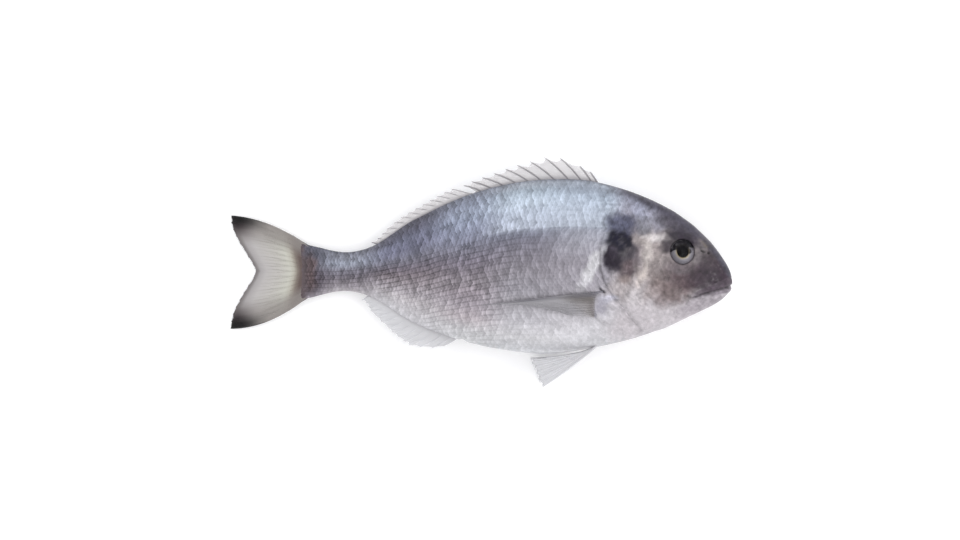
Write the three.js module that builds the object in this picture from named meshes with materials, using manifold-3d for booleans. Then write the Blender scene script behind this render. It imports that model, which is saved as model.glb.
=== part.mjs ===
// A whole raw gilt-head sea bream lying on its left flank on a level surface.
// Frame, in millimetres: +X towards the snout, +Y towards the back, +Z up through the right flank.
// The origin is the middle of the footprint, on the surface that the fish lies on.
// Places on the fish are given as [distance behind the snout, height above the body axis].
import * as THREE from 'three';
import { mergeVertices } from 'three/addons/utils/BufferGeometryUtils.js';
import Module from 'manifold-3d';

const wasm = await Module();
wasm.setup();

// Driving dimensions
const totalLength = 300; // snout to the tips of the tail
const bodyLength = 253; // snout to the root of the tail fin
const halfWidth = 20.5; // half of the widest part, before the flank settles
const restHeight = 18.9; // the middle plane above the surface, so the flank is pressed flat
const gap = 0.3; // kept between pieces that meet
const eye = { behind: 30.4, above: 11.6, radius: 7.6, depth: 4.4, proud: 1.5 };

// Mesh fineness
const ringCount = 46;
const ringSides = 44;

const radians = THREE.MathUtils.degToRad;

// A smooth curve through [distance, value] points. It runs in the square root of the
// distance, so that an outline which closes at the snout closes round and not in a point.
function alongBody(points) {
  const places = points.map(([distance]) => Math.sqrt(distance / bodyLength));
  const values = points.map(([, value]) => value);
  const last = places.length - 1;
  const slopes = places.map((_, i) => {
    const before = Math.max(i - 1, 0);
    const after = Math.min(i + 1, last);
    return (values[after] - values[before]) / (places[after] - places[before]);
  });
  return (distance) => {
    const place = Math.sqrt(Math.max(distance, 0) / bodyLength);
    let i = 0;
    while (i < last - 1 && places[i + 1] < place) i += 1;
    const span = places[i + 1] - places[i];
    const u = (place - places[i]) / span;
    const start = values[i] * (1 + 2 * u) * (1 - u) ** 2 + values[i + 1] * u * u * (3 - 2 * u);
    return start + span * (slopes[i] * u * (1 - u) ** 2 - slopes[i + 1] * u * u * (1 - u));
  };
}

// The body's outline seen from the side, its widths and where its middle plane lies
const backLine = alongBody([
  [0, -6], [4.8, 6.9], [15, 19.9], [37, 37], [66, 49.4], [92, 54.4],
  [128, 52.6], [160, 44], [190, 29.8], [213, 15.2], [231, 10.8], [253, 15],
]);
const bellyLine = alongBody([
  [0, -6], [4.8, -15.4], [22.8, -25.6], [51.6, -37.8], [80, -45], [110, -49.2],
  [140, -46.4], [168, -39.6], [192, -29.6], [213, -16.8], [231, -12.4], [253, -16.6],
]);
const widestLine = alongBody([
  [0, -6], [15, -5], [50, -2], [90, 4], [140, 6], [190, 2], [231, -0.5], [253, -0.6],
]);
const widthShare = alongBody([
  [0, 0], [4.8, 0.3], [15, 0.47], [30, 0.61], [50, 0.78], [75, 0.95], [98, 1],
  [130, 0.95], [160, 0.77], [190, 0.52], [213, 0.34], [235, 0.21], [253, 0.1],
]);
const middlePlane = alongBody([
  [0, restHeight - 0.6], [60, restHeight - 0.2], [110, restHeight], [150, 16.3],
  [190, 11.2], [213, 8.4], [235, 6.2], [253, 4.6],
]);
// Above 1 a section narrows to a ridge, below 1 it stays full
const backRidge = alongBody([[0, 0.9], [40, 1], [90, 1.2], [190, 1.15], [253, 1]]);
const bellyRidge = alongBody([[0, 0.9], [60, 0.95], [110, 0.85], [190, 1], [253, 1]]);

// Half the body's thickness at a place on its side
function thicknessAt(distance, height) {
  const middle = widestLine(distance);
  const edge = height > middle ? backLine(distance) : bellyLine(distance);
  const rise = THREE.MathUtils.clamp((height - middle) / (edge - middle), 0, 1);
  const ridge = height > middle ? backRidge(distance) : bellyRidge(distance);
  return halfWidth * widthShare(distance) * Math.sqrt(1 - rise * rise) ** ridge;
}

// A point on the skin: side is 1 for the upper, right flank and -1 for the left one
function onFlank(distance, height, side, lift = 0) {
  const reach = thicknessAt(distance, height) + lift;
  return new THREE.Vector3(-distance, height, middlePlane(distance) + side * reach);
}

// The way the skin faces at that place
function flankNormal(distance, height, side) {
  const step = 0.5;
  const ahead = onFlank(distance - step, height, side);
  const behind = onFlank(distance + step, height, side);
  const above = onFlank(distance, height + step, side);
  const below = onFlank(distance, height - step, side);
  return ahead.sub(behind).cross(above.sub(below)).multiplyScalar(side).normalize();
}

function solidFrom(geometry) {
  const bare = geometry.clone();
  for (const name of ['normal', 'uv']) bare.deleteAttribute(name);
  const merged = mergeVertices(bare, 1e-4);
  return new wasm.Manifold(new wasm.Mesh({
    numProp: 3,
    vertProperties: merged.attributes.position.array,
    triVerts: new Uint32Array(merged.index.array),
  }));
}

function geometryFrom(solid) {
  const mesh = solid.getMesh();
  const geometry = new THREE.BufferGeometry();
  geometry.setAttribute('position', new THREE.BufferAttribute(mesh.vertProperties, 3));
  geometry.setIndex(new THREE.BufferAttribute(mesh.triVerts, 1));
  geometry.computeVertexNormals();
  return geometry;
}

function geometryOf(points, faces) {
  const geometry = new THREE.BufferGeometry().setFromPoints(points);
  geometry.setIndex(faces.flat());
  return geometry;
}

// The body as rings from the snout to the root of the tail
function bodyGeometry() {
  const points = [new THREE.Vector3(0, backLine(0), middlePlane(0))];
  for (let ring = 1; ring <= ringCount; ring += 1) {
    const distance = bodyLength * (ring / ringCount) ** 2;
    const middle = widestLine(distance);
    for (let side = 0; side < ringSides; side += 1) {
      const angle = (2 * Math.PI * side) / ringSides;
      const rise = Math.sin(angle);
      const edge = rise > 0 ? backLine(distance) : bellyLine(distance);
      const height = middle + Math.abs(rise) * (edge - middle);
      const ridge = rise > 0 ? backRidge(distance) : bellyRidge(distance);
      const reach = halfWidth * widthShare(distance) * Math.abs(Math.cos(angle)) ** ridge;
      const across = middlePlane(distance) + Math.sign(Math.cos(angle)) * reach;
      points.push(new THREE.Vector3(-distance, height, across));
    }
  }
  const capMiddle = points.length;
  points.push(new THREE.Vector3(-bodyLength, widestLine(bodyLength), middlePlane(bodyLength)));
  const at = (ring, side) => 1 + (ring - 1) * ringSides + (side % ringSides);
  const faces = [];
  for (let side = 0; side < ringSides; side += 1) {
    faces.push([0, at(1, side + 1), at(1, side)]);
    faces.push([capMiddle, at(ringCount, side), at(ringCount, side + 1)]);
    for (let ring = 1; ring < ringCount; ring += 1) {
      faces.push([at(ring, side), at(ring, side + 1), at(ring + 1, side + 1)]);
      faces.push([at(ring, side), at(ring + 1, side + 1), at(ring + 1, side)]);
    }
  }
  return geometryOf(points, faces);
}

// A flattened ball set into the side of the head, larger by grow
function eyeGeometry(side, grow = 0) {
  const geometry = new THREE.SphereGeometry(1, 22, 12);
  geometry.rotateX(Math.PI / 2);
  geometry.scale(eye.radius + grow, eye.radius + grow, eye.depth + grow);
  const normal = flankNormal(eye.behind, eye.above, side);
  const turn = new THREE.Quaternion().setFromUnitVectors(new THREE.Vector3(0, 0, 1), normal);
  const place = onFlank(eye.behind, eye.above, side);
  place.addScaledVector(normal, eye.proud - eye.depth);
  geometry.applyQuaternion(turn);
  return geometry.translate(place.x, place.y, place.z);
}

// A fin is a closed sheet: thick along each ray and thin in the skin between the rays, whose
// free edge falls back by notch between two tips. Its columns run along the rays.
function finGeometry({ rays, root, tip, skin, notch, steps, perGap = 3 }) {
  const columns = (rays.length - 1) * perGap + 1;
  const middleAt = (column, v) => {
    const place = Math.min(Math.max(column / perGap, 0), rays.length - 1);
    const i = Math.min(Math.floor(place), rays.length - 2);
    const f = place - i;
    const reach = v * (1 - notch * 4 * f * (1 - f));
    return rays[i].getPoint(reach).lerp(rays[i + 1].getPoint(reach), f);
  };
  const sheets = [[], []];
  for (let column = 0; column < columns; column += 1) {
    for (let step = 0; step <= steps; step += 1) {
      const v = step / steps;
      const middle = middleAt(column, v);
      const across = middleAt(column + 0.5, v).sub(middleAt(column - 0.5, v));
      const onward = middleAt(column, Math.min(v + 0.05, 1));
      const along = onward.sub(middleAt(column, Math.max(v - 0.05, 0)));
      const normal = across.cross(along).normalize();
      const rayThickness = THREE.MathUtils.lerp(root, tip, v);
      const half = (column % perGap === 0 ? rayThickness : skin) / 2;
      sheets[0].push(middle.clone().addScaledVector(normal, half));
      sheets[1].push(middle.clone().addScaledVector(normal, -half));
    }
  }
  const front = (column, step) => column * (steps + 1) + step;
  const back = (column, step) => sheets[0].length + front(column, step);
  const faces = [];
  const quad = (a, b, c, d) => faces.push([a, b, c], [a, c, d]);
  for (let column = 0; column < columns - 1; column += 1) {
    const next = column + 1;
    for (let step = 0; step < steps; step += 1) {
      quad(front(column, step), front(next, step), front(next, step + 1), front(column, step + 1));
      quad(back(column, step), back(column, step + 1), back(next, step + 1), back(next, step));
    }
    quad(front(column, 0), back(column, 0), back(next, 0), front(next, 0));
    quad(front(column, steps), front(next, steps), back(next, steps), back(column, steps));
  }
  const end = columns - 1;
  for (let step = 0; step < steps; step += 1) {
    quad(front(0, step), front(0, step + 1), back(0, step + 1), back(0, step));
    quad(front(end, step), back(end, step), back(end, step + 1), front(end, step + 1));
  }
  return geometryOf([...sheets[0], ...sheets[1]], faces);
}

// One ray, from its root to its tip, with its middle moved by bow
function ray(root, tip, bow = new THREE.Vector3()) {
  const middle = root.clone().lerp(tip, 0.5).addScaledVector(bow, 2);
  return new THREE.QuadraticBezierCurve3(root, middle, tip);
}

// A ray of the dorsal fin, with away 1, or of the anal fin, with away -1. It leans back from
// the edge of the body by lean degrees, and its tip sinks by droop.
function edgeRay(line, away, distance, { length, lean, droop }) {
  const slope = Math.atan2(line(distance + 2) - line(distance - 2), 4);
  const angle = slope + away * radians(lean);
  const root = new THREE.Vector3(-distance, line(distance) + away * gap, middlePlane(distance));
  const reach = new THREE.Vector3(-Math.cos(angle) * length, Math.sin(angle) * length, -droop);
  return ray(root, root.clone().add(reach), new THREE.Vector3(0, away * length * 0.04, 0));
}

// The spines, then the evenly spaced soft rays behind them
function edgeRays(line, away, fin) {
  const rays = fin.spineRoots.map((distance, i) => edgeRay(line, away, distance, {
    length: fin.spineLengths[i],
    lean: fin.spineLeans[i],
    droop: fin.spineDroop,
  }));
  for (let i = 0; i < fin.softCount; i += 1) {
    const share = i / (fin.softCount - 1);
    rays.push(edgeRay(line, away, THREE.MathUtils.lerp(fin.softStart, fin.softEnd, share), {
      length: THREE.MathUtils.lerp(fin.softLengths[0], fin.softLengths[1], share),
      lean: fin.softLean,
      droop: fin.softDroop,
    }));
  }
  return rays;
}

const dorsalFin = {
  spineRoots: [81, 84.5, 90.5, 98, 106.5, 114.5, 122, 129.5, 137, 144, 150],
  spineLengths: [7.2, 11, 17.7, 19.3, 17.6, 16.5, 15.2, 14, 13.1, 12.2, 10.8],
  spineLeans: [46, 45, 42, 41, 38, 36, 34, 32, 32, 33, 34],
  spineDroop: 0.5,
  softCount: 13,
  softStart: 156.5,
  softEnd: 212,
  softLengths: [12, 7.5],
  softLean: 35,
  softDroop: 1.2,
};

const analFin = {
  spineRoots: [165, 168, 172.5],
  spineLengths: [8, 12.5, 15.5],
  spineLeans: [48, 48, 48],
  spineDroop: 0.8,
  softCount: 11,
  softStart: 177,
  softEnd: 217,
  softLengths: [18, 8.5],
  softLean: 48,
  softDroop: 1.5,
};

const tailFin = {
  rayCount: 17,
  rootHalf: 14.6,
  halfSpan: 33.4,
  fork: 15.4, // how far the notch runs in from the tips
  forkPower: 1.25,
  tipHeight: 1.1,
  bow: 3.3,
};

function tailRays() {
  const fin = tailFin;
  const axis = widestLine(bodyLength);
  const rays = [];
  for (let i = 0; i < fin.rayCount; i += 1) {
    const share = 1 - (2 * i) / (fin.rayCount - 1);
    const outward = Math.abs(share);
    const root = new THREE.Vector3(-bodyLength - gap, axis + fin.rootHalf * share, middlePlane(bodyLength));
    const back = totalLength - fin.fork * (1 - Math.sin((outward * Math.PI) / 2) ** fin.forkPower);
    const tip = new THREE.Vector3(-back, axis + fin.halfSpan * share, fin.tipHeight);
    rays.push(ray(root, tip, new THREE.Vector3(0, fin.bow * share, 0)));
  }
  return rays;
}

const pectoralFin = {
  rayCount: 15,
  rootTop: [80, -11.8],
  rootBottom: [82, -27],
  longest: 74,
  shortest: 17,
  topSpine: 4, // how much shorter the first, spiny ray is than the next
  fan: [5.4, -4], // degrees below the body axis, from the top ray to the bottom one
  rootLift: 1,
  middleLift: 1.9,
  tipLift: 1.1,
};

// The long fin behind the gill cover, folded back along the flank
function pectoralRays(side) {
  const fin = pectoralFin;
  const over = (distance, height, lift) => {
    const place = onFlank(distance, height, side, lift);
    if (side < 0) place.z = pressedFin.height;
    return place;
  };
  const rays = [];
  for (let i = 0; i < fin.rayCount; i += 1) {
    const share = i / (fin.rayCount - 1);
    const behind = THREE.MathUtils.lerp(fin.rootTop[0], fin.rootBottom[0], share);
    const above = THREE.MathUtils.lerp(fin.rootTop[1], fin.rootBottom[1], share);
    const spineLess = i === 0 ? fin.topSpine : 0;
    const length = THREE.MathUtils.lerp(fin.longest, fin.shortest, share ** 0.8) - spineLess;
    const angle = radians(THREE.MathUtils.lerp(fin.fan[0], fin.fan[1], share));
    const tipBehind = behind + Math.cos(angle) * length;
    const tipAbove = above - Math.sin(angle) * length;
    const root = over(behind, above, fin.rootLift);
    const tip = over(tipBehind, tipAbove, fin.tipLift);
    const middle = over((behind + tipBehind) / 2, (above + tipAbove) / 2, fin.middleLift);
    rays.push(ray(root, tip, middle.sub(root.clone().lerp(tip, 0.5))));
  }
  return rays;
}

// The left pectoral fin lies pressed between the flank and the surface, in this recess
const pressedFin = { height: 0.55, recess: 1.3, margin: 1.5 };

function recessGeometry() {
  const rays = pectoralRays(-1);
  const edge = [rays[0].getPoint(0), ...rays.map((item) => item.getPoint(1)), rays.at(-1).getPoint(0)];
  const outline = edge.map((point, i) => {
    const along = edge[(i + 1) % edge.length].clone().sub(edge.at(i - 1)).setZ(0).normalize();
    return new THREE.Vector2(point.x, point.y)
      .add(new THREE.Vector2(along.y, -along.x).multiplyScalar(pressedFin.margin));
  });
  const geometry = new THREE.ExtrudeGeometry(new THREE.Shape(outline), {
    depth: pressedFin.recess * 2,
    bevelEnabled: false,
  });
  return geometry.translate(0, 0, -pressedFin.recess);
}

const pelvicFin = {
  rayCount: 6,
  rootFront: [84.5, -47.5],
  rootBack: [92, -48.9],
  tipFront: [114.5, -70],
  tipBack: [121, -52],
  apart: 4.6, // from the middle plane to each root
  rightRise: [5, 2], // of the right fin's tips over its roots, front ray to back ray
  leftTips: [1, 6], // heights of the left fin's tips over the surface
};

// The paired fins under the belly: the right one stands out a little, the left one sinks down
function pelvicRays(side) {
  const fin = pelvicFin;
  const rays = [];
  for (let i = 0; i < fin.rayCount; i += 1) {
    const share = i / (fin.rayCount - 1);
    const between = (front, back, power = 1) => THREE.MathUtils.lerp(front, back, share ** power);
    const behind = between(fin.rootFront[0], fin.rootBack[0]);
    const across = middlePlane(behind) + side * fin.apart;
    const root = new THREE.Vector3(-behind, between(fin.rootFront[1], fin.rootBack[1]), across);
    const tip = new THREE.Vector3(
      -between(fin.tipFront[0], fin.tipBack[0], 0.85),
      between(fin.tipFront[1], fin.tipBack[1], 0.85),
      side > 0 ? across + between(...fin.rightRise) : between(...fin.leftTips),
    );
    rays.push(ray(root, tip, new THREE.Vector3(0, -0.8, 0.4 * side)));
  }
  return rays;
}

// The body with its eye sockets, pressed flat where it lies
function bodySolid() {
  const floor = new THREE.BoxGeometry(400, 200, 100).translate(-totalLength / 2, 0, -50);
  return solidFrom(bodyGeometry())
    .subtract(solidFrom(eyeGeometry(1, gap)))
    .subtract(solidFrom(eyeGeometry(-1, gap)))
    .subtract(solidFrom(recessGeometry()))
    .subtract(solidFrom(floor));
}

const skin = new THREE.MeshStandardMaterial({ color: '#8f8f9c', roughness: 0.35, metalness: 0.35 });
const finSkin = new THREE.MeshStandardMaterial({ color: '#c4c1bd', roughness: 0.5, metalness: 0 });
const eyeBall = new THREE.MeshStandardMaterial({ color: '#2b2730', roughness: 0.1, metalness: 0 });

const fish = new THREE.Group();

function add(name, geometry, material) {
  const mesh = new THREE.Mesh(geometry, material);
  mesh.name = name;
  fish.add(mesh);
}

// Thicknesses of the fins: along a ray at its root and at its tip, and of the skin between
const fin = { root: 1.6, tip: 0.7, skin: 0.6, notch: 0.06, steps: 5 };
const longFin = { ...fin, steps: 8 };
const foldedFin = { ...longFin, perGap: 2 };
const pelvic = { ...fin, root: 2, notch: 0.12 };

add('body', geometryFrom(bodySolid()), skin);
add('eye_right', eyeGeometry(1), eyeBall);
add('eye_left', eyeGeometry(-1), eyeBall);
add('dorsal_fin', finGeometry({ ...fin, rays: edgeRays(backLine, 1, dorsalFin), notch: 0.16 }), finSkin);
add('anal_fin', finGeometry({ ...fin, rays: edgeRays(bellyLine, -1, analFin) }), finSkin);
add('tail_fin', finGeometry({ ...longFin, rays: tailRays(), root: 2.8 }), finSkin);
add('pectoral_fin_right', finGeometry({ ...foldedFin, rays: pectoralRays(1), root: 1.2 }), finSkin);
add('pectoral_fin_left', finGeometry({ ...foldedFin, rays: pectoralRays(-1), root: 1 }), finSkin);
add('pelvic_fin_right', finGeometry({ ...pelvic, rays: pelvicRays(1) }), finSkin);
add('pelvic_fin_left', finGeometry({ ...pelvic, rays: pelvicRays(-1) }), finSkin);

// Put the origin at the middle of the footprint, on the surface
const box = new THREE.Box3().setFromObject(fish, true);
fish.position.set(-(box.min.x + box.max.x) / 2, -(box.min.y + box.max.y) / 2, -box.min.z);

export default fish;
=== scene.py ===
import math

import bmesh
import bpy
import numpy as np
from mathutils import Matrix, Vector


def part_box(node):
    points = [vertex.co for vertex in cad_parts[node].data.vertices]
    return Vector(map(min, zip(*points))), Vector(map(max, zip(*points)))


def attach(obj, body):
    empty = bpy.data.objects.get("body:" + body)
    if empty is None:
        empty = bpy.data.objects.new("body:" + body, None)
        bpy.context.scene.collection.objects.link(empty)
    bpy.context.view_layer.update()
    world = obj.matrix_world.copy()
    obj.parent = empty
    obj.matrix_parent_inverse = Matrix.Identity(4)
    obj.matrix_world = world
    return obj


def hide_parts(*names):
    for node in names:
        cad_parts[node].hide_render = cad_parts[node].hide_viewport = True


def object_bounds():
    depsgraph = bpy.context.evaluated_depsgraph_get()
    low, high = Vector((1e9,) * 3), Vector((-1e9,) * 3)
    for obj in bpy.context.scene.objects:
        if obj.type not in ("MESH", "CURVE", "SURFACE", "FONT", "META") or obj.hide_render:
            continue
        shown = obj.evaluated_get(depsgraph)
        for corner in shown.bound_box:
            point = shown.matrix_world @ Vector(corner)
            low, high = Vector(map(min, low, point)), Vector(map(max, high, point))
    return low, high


# A whole raw gilt-head sea bream that lies on its left flank on a pale table.
# Places on the fish are millimetres: how far behind the snout, and how high above the body axis.
# The frame says where the snout, the back and the table are, and how long a millimetre is.

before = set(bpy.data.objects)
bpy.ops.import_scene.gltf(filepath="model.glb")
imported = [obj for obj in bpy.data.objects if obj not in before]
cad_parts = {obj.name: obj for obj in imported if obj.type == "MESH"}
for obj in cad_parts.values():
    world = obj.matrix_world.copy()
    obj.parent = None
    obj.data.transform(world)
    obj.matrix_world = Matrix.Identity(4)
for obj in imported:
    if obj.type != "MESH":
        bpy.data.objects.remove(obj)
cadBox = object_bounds()


# Curves and small sums

def smoothCurve(points, rooted=False):
    # rooted: the curve runs in the square root of the distance, so an outline closes round
    x, y = np.array(points, float).T
    x = np.sqrt(x) if rooted else x
    slope = np.empty(len(x))
    slope[1:-1] = (y[2:] - y[:-2]) / (x[2:] - x[:-2])
    slope[0] = (y[1] - y[0]) / (x[1] - x[0])
    slope[-1] = (y[-1] - y[-2]) / (x[-1] - x[-2])

    def at(where):
        where = np.clip(np.sqrt(np.maximum(where, 0)) if rooted else where, x[0], x[-1])
        i = np.clip(np.searchsorted(x, where) - 1, 0, len(x) - 2)
        span = x[i + 1] - x[i]
        u = (where - x[i]) / span
        ends = y[i] * (1 + 2 * u) * (1 - u) ** 2 + y[i + 1] * u * u * (3 - 2 * u)
        return ends + span * (slope[i] * u * (1 - u) ** 2 - slope[i + 1] * u * u * (1 - u))

    return at


def lerp(a, b, share):
    return a + (b - a) * share


def ease(low, high, value):  # 0 at low, 1 at high, smooth between; low may be the larger
    share = np.clip((value - low) / (high - low), 0, 1)
    return share * share * (3 - 2 * share)


def hump(value, middle, width):
    return np.exp(-(((value - middle) / width) ** 2))


def cloud(x, y, size, seed):  # soft random hills from -1 to 1, about size across
    count = 64  # hills before the pattern repeats
    hills = np.random.default_rng(seed).random((count, count)) * 2 - 1
    gx, gy = np.asarray(x) / size + 1000, np.asarray(y) / size + 1000  # never negative
    ix, iy = np.floor(gx).astype(int), np.floor(gy).astype(int)
    fx, fy = ease(0, 1, gx - ix), ease(0, 1, gy - iy)
    left, right, low, high = ix % count, (ix + 1) % count, iy % count, (iy + 1) % count
    near = lerp(hills[left, low], hills[right, low], fx)
    far = lerp(hills[left, high], hills[right, high], fx)
    return lerp(near, far, fy)


def offLine(x, y, points):  # distance from a line, above it positive, and the share along it
    points = np.array(points, float)
    best = np.full(np.shape(x), 1e9)
    side = np.ones(np.shape(x))
    along = np.zeros(np.shape(x))
    for i, (start, end) in enumerate(zip(points[:-1], points[1:])):
        step = end - start
        share = np.clip(((x - start[0]) * step[0] + (y - start[1]) * step[1]) / (step @ step), 0, 1)
        dx, dy = x - start[0] - share * step[0], y - start[1] - share * step[1]
        away = np.hypot(dx, dy)
        closer = away < best
        best = np.where(closer, away, best)
        side = np.where(closer, np.sign(step[0] * dy - step[1] * dx), side)
        along = np.where(closer, (i + share) / (len(points) - 1), along)
    return best * side, along


def spot(x, y, middle, radii, tilt=0.0, soft=0.5):  # 1 inside a tilted oval, 0 outside
    turn = math.radians(tilt)
    dx, dy = x - middle[0], y - middle[1]
    across = (dx * math.cos(turn) + dy * math.sin(turn)) / radii[0]
    up = (dy * math.cos(turn) - dx * math.sin(turn)) / radii[1]
    return ease(1 + soft, 1 - soft, np.hypot(across, up))


# The body's form

fish = {
    "length": 253,  # snout to tail root
    "halfWidth": 20.5,
    "back": [(0, -6), (4.8, 6.9), (15, 19.9), (37, 37), (66, 49.4), (92, 54.4),
             (128, 52.6), (160, 44), (190, 29.8), (213, 15.2), (231, 10.8), (253, 15)],
    "belly": [(0, -6), (4.8, -15.4), (22.8, -25.6), (51.6, -37.8), (80, -45), (110, -49.2),
              (140, -46.4), (168, -39.6), (192, -29.6), (213, -16.8), (231, -12.4), (253, -16.6)],
    "widest": [(0, -6), (15, -5), (50, -2), (90, 4), (140, 6), (190, 2), (231, -0.5), (253, -0.6)],
    "width": [(0, 0), (4.8, 0.3), (15, 0.47), (30, 0.61), (50, 0.78), (75, 0.95), (98, 1),
              (130, 0.95), (160, 0.77), (190, 0.52), (213, 0.34), (235, 0.21), (253, 0.1)],
    "middle": [(0, 18.3), (60, 18.7), (110, 18.9), (150, 16.3),
               (190, 11.2), (213, 8.4), (235, 6.2), (253, 4.6)],  # the middle plane's height
    "backRidge": [(0, 0.9), (40, 1), (90, 1.2), (190, 1.15), (253, 1)],
    "bellyRidge": [(0, 0.9), (60, 0.95), (110, 0.85), (190, 1), (253, 1)],
    "lateralLine": [(70, 25.5), (96, 26), (110, 25.4), (126, 24.4), (140, 22), (155, 18.4),
                    (170, 14.3), (185, 9.6), (200, 5.8), (215, 2.8), (231, 1), (253, 0)],
}

backLine, bellyLine, widestLine, widthShare, middleHeight, backRidge, bellyRidge = (
    smoothCurve(fish[name], rooted=True)
    for name in ("back", "belly", "widest", "width", "middle", "backRidge", "bellyRidge"))
lateralLine = smoothCurve(fish["lateralLine"])

bodyLow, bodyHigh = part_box("body")
mm = (bodyHigh[0] - bodyLow[0]) / fish["length"]
snoutX = bodyHigh[0]
axisY = bodyHigh[1] - backLine(np.linspace(60, 130, 700)).max() * mm


def thickness(behind, high):  # from the middle plane to the skin
    middle = widestLine(behind)
    above = high > middle
    edge = np.where(above, backLine(behind), bellyLine(behind))
    rise = np.clip((high - middle) / (edge - middle), 0, 1)
    ridge = np.where(above, backRidge(behind), bellyRidge(behind))
    return fish["halfWidth"] * widthShare(behind) * np.sqrt(1 - rise * rise) ** ridge


def onFlank(behind, high, side, lift=0.0):  # millimetres; side is 1 for the right flank
    behind, high = np.asarray(behind, float), np.asarray(high, float)
    up = middleHeight(behind) + side * (thickness(behind, high) + lift)
    return np.stack([-behind, high + 0 * up, up], axis=-1)


def toFrame(points):  # millimetres on the fish to metres in the frame
    points = np.asarray(points, float)
    return points * mm + [snoutX, axisY, 0]


# Meshes and materials

attributeKinds = {1: ("FLOAT", "value"), 3: ("FLOAT_VECTOR", "vector"), 4: ("FLOAT_COLOR", "color")}


def makePiece(name, points, faces, materials, node, faceMaterials=None, attributes=None):
    mesh = bpy.data.meshes.new(name)
    points = np.clip(toFrame(points), *np.array(cadBox))
    mesh.from_pydata(points.tolist(), [], faces)
    for material in materials:
        mesh.materials.append(material)
    mesh.polygons.foreach_set("use_smooth", [True] * len(mesh.polygons))
    if faceMaterials is not None:
        mesh.polygons.foreach_set("material_index", faceMaterials)
    for label, values in (attributes or {}).items():
        values = np.asarray(values, np.float32)
        kind, field = attributeKinds[1 if values.ndim == 1 else values.shape[1]]
        mesh.attributes.new(label, kind, "POINT").data.foreach_set(field, values.ravel())
    facing = bmesh.new()  # every face looks out
    facing.from_mesh(mesh)
    bmesh.ops.recalc_face_normals(facing, faces=facing.faces)
    facing.to_mesh(mesh)
    facing.free()
    mesh.update()
    piece = bpy.data.objects.new(name, mesh)
    bpy.context.scene.collection.objects.link(piece)
    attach(piece, "root")
    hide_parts(node)


def linear(hexColour):  # sRGB hex to the linear numbers that shaders take
    parts = [int(hexColour[i:i + 2], 16) / 255 for i in (1, 3, 5)]
    return tuple(c / 12.92 if c <= 0.04045 else ((c + 0.055) / 1.055) ** 2.4 for c in parts) + (1.0,)


def underGloss(hexColour):  # what to paint so that a wet surface looks this colour
    # the gloss lays a pale veil over the paint
    return tuple(max((c - 0.012) / 1.24, 0.22 * c) for c in linear(hexColour)[:3]) + (1.0,)


def newMaterial(name):
    material = bpy.data.materials.new(name)
    material.use_nodes = True
    material.node_tree.nodes.clear()
    return material, material.node_tree


def addNode(tree, kind, sockets=None, stops=None, paint=linear, **settings):
    node = tree.nodes.new("ShaderNode" + kind)
    for name, value in settings.items():
        setattr(node, name, value)
    if stops:
        ramp = node.color_ramp
        while len(ramp.elements) < len(stops):
            ramp.elements.new(1.0)
        for element, (position, colour) in zip(ramp.elements, stops):
            element.position = position
            element.color = paint(colour) if isinstance(colour, str) else (colour, colour, colour, 1)
    for socket, value in (sockets or {}).items():
        target = node.inputs[socket]
        if isinstance(value, bpy.types.Node):
            value = value.outputs[0]
        if isinstance(value, bpy.types.NodeSocket):
            tree.links.new(value, target)
        else:
            target.default_value = value
    return node


# Scales, shared by the skin's relief and its material

scales = {
    "pitchHead": 2.3,  # mm of each scale that shows, along the fish
    "pitchShoulder": 2.75,
    "pitchTail": 1.9,
    "rowShoulder": 3.9,  # mm from one row to the next
    "rowTail": 2.3,
    "chord": 1.05,  # how far the round free edge reaches back, in pitches
    "halfBreadth": 1.04,  # of a scale, in rows
    "relief": 0.09,  # mm that a free edge stands over the next scale
    "tubeRelief": 0.14,  # mm of the lateral line's tubes over their scales
}


def scaleEdge(column, row):  # 0 at a scale's free edge, rising towards its root
    found = []
    for family in (0, 1):  # rows lie in two families, half a scale apart
        offRow = row - 2 * np.round((row - family) / 2) - family
        chord = scales["chord"] * np.sqrt(np.maximum(1 - (offRow / scales["halfBreadth"]) ** 2, 0))
        root = np.ceil(column - chord - family / 2) + family / 2
        found.append((root, root + chord - column))
    (rootA, edgeA), (rootB, edgeB) = found
    return np.where(rootA <= rootB, edgeA, edgeB)


# The skin: one closed surface from the lips to the tail root

skin = {
    "headColumns": 112,
    "sideRows": 103,
    "stepsPerScale": 4,
    "gillColumn": 75,  # the column of the gill cover's free edge, before it bends
    # the free edge of the gill cover: [angle round the body, distance], 90 is the back
    "gillEdge": [(-90, 40), (-71, 51), (-46.8, 59), (-31.7, 64.8), (-22.4, 70.2), (-12.3, 75.4),
                 (-2.2, 78.4), (8, 79), (19, 77.6), (28.6, 75), (60, 74), (90, 73)],
    "gillReach": [0, 85],  # the columns bend with the edge between these, in front and behind
    "tailLobe": 5.5,  # how far the scaly skin runs out on the tail's outer rays
    "tailSkin": 4.0,
    "tailSpread": 0.62,  # how much the tail's outer rays lean apart there, and how much they droop
    "tailDroop": 0.075,
    "mouth": [(-0.4, -8.0), (3, -9.2), (10, -11.4), (18, -13.8), (25.8, -16.4)],
    "cheekplate": [(55.5, 22), (57.4, 14), (58, 5), (57, -4), (53.5, -11.5), (47, -18), (38, -22.5),
                   (27, -25)],
    "cheekEdge": [(47, 15), (48.6, 6), (48.2, -3), (44.6, -10.5), (38, -15.5), (30, -17.5)],
    "coverSeam": [(58, -9), (65, -11.5), (72.5, -11)],
    "shoulderFold": [(83, -24.5), (79, -28.5), (73, -32.5), (66, -36)],
    "eye": (30.1, 11.7),
    "nostrils": [((14.4, 11.0), (0.8, 0.7), 0.7), ((17.8, 12.0), (1.6, 0.65), 0.8)],
    "lobe": (79.0, -19.5),  # fleshy root of the pectoral fin
    "vent": 160.5,
    "settle": 0.5,  # mm over which the flank rolls up from the table
}

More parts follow.
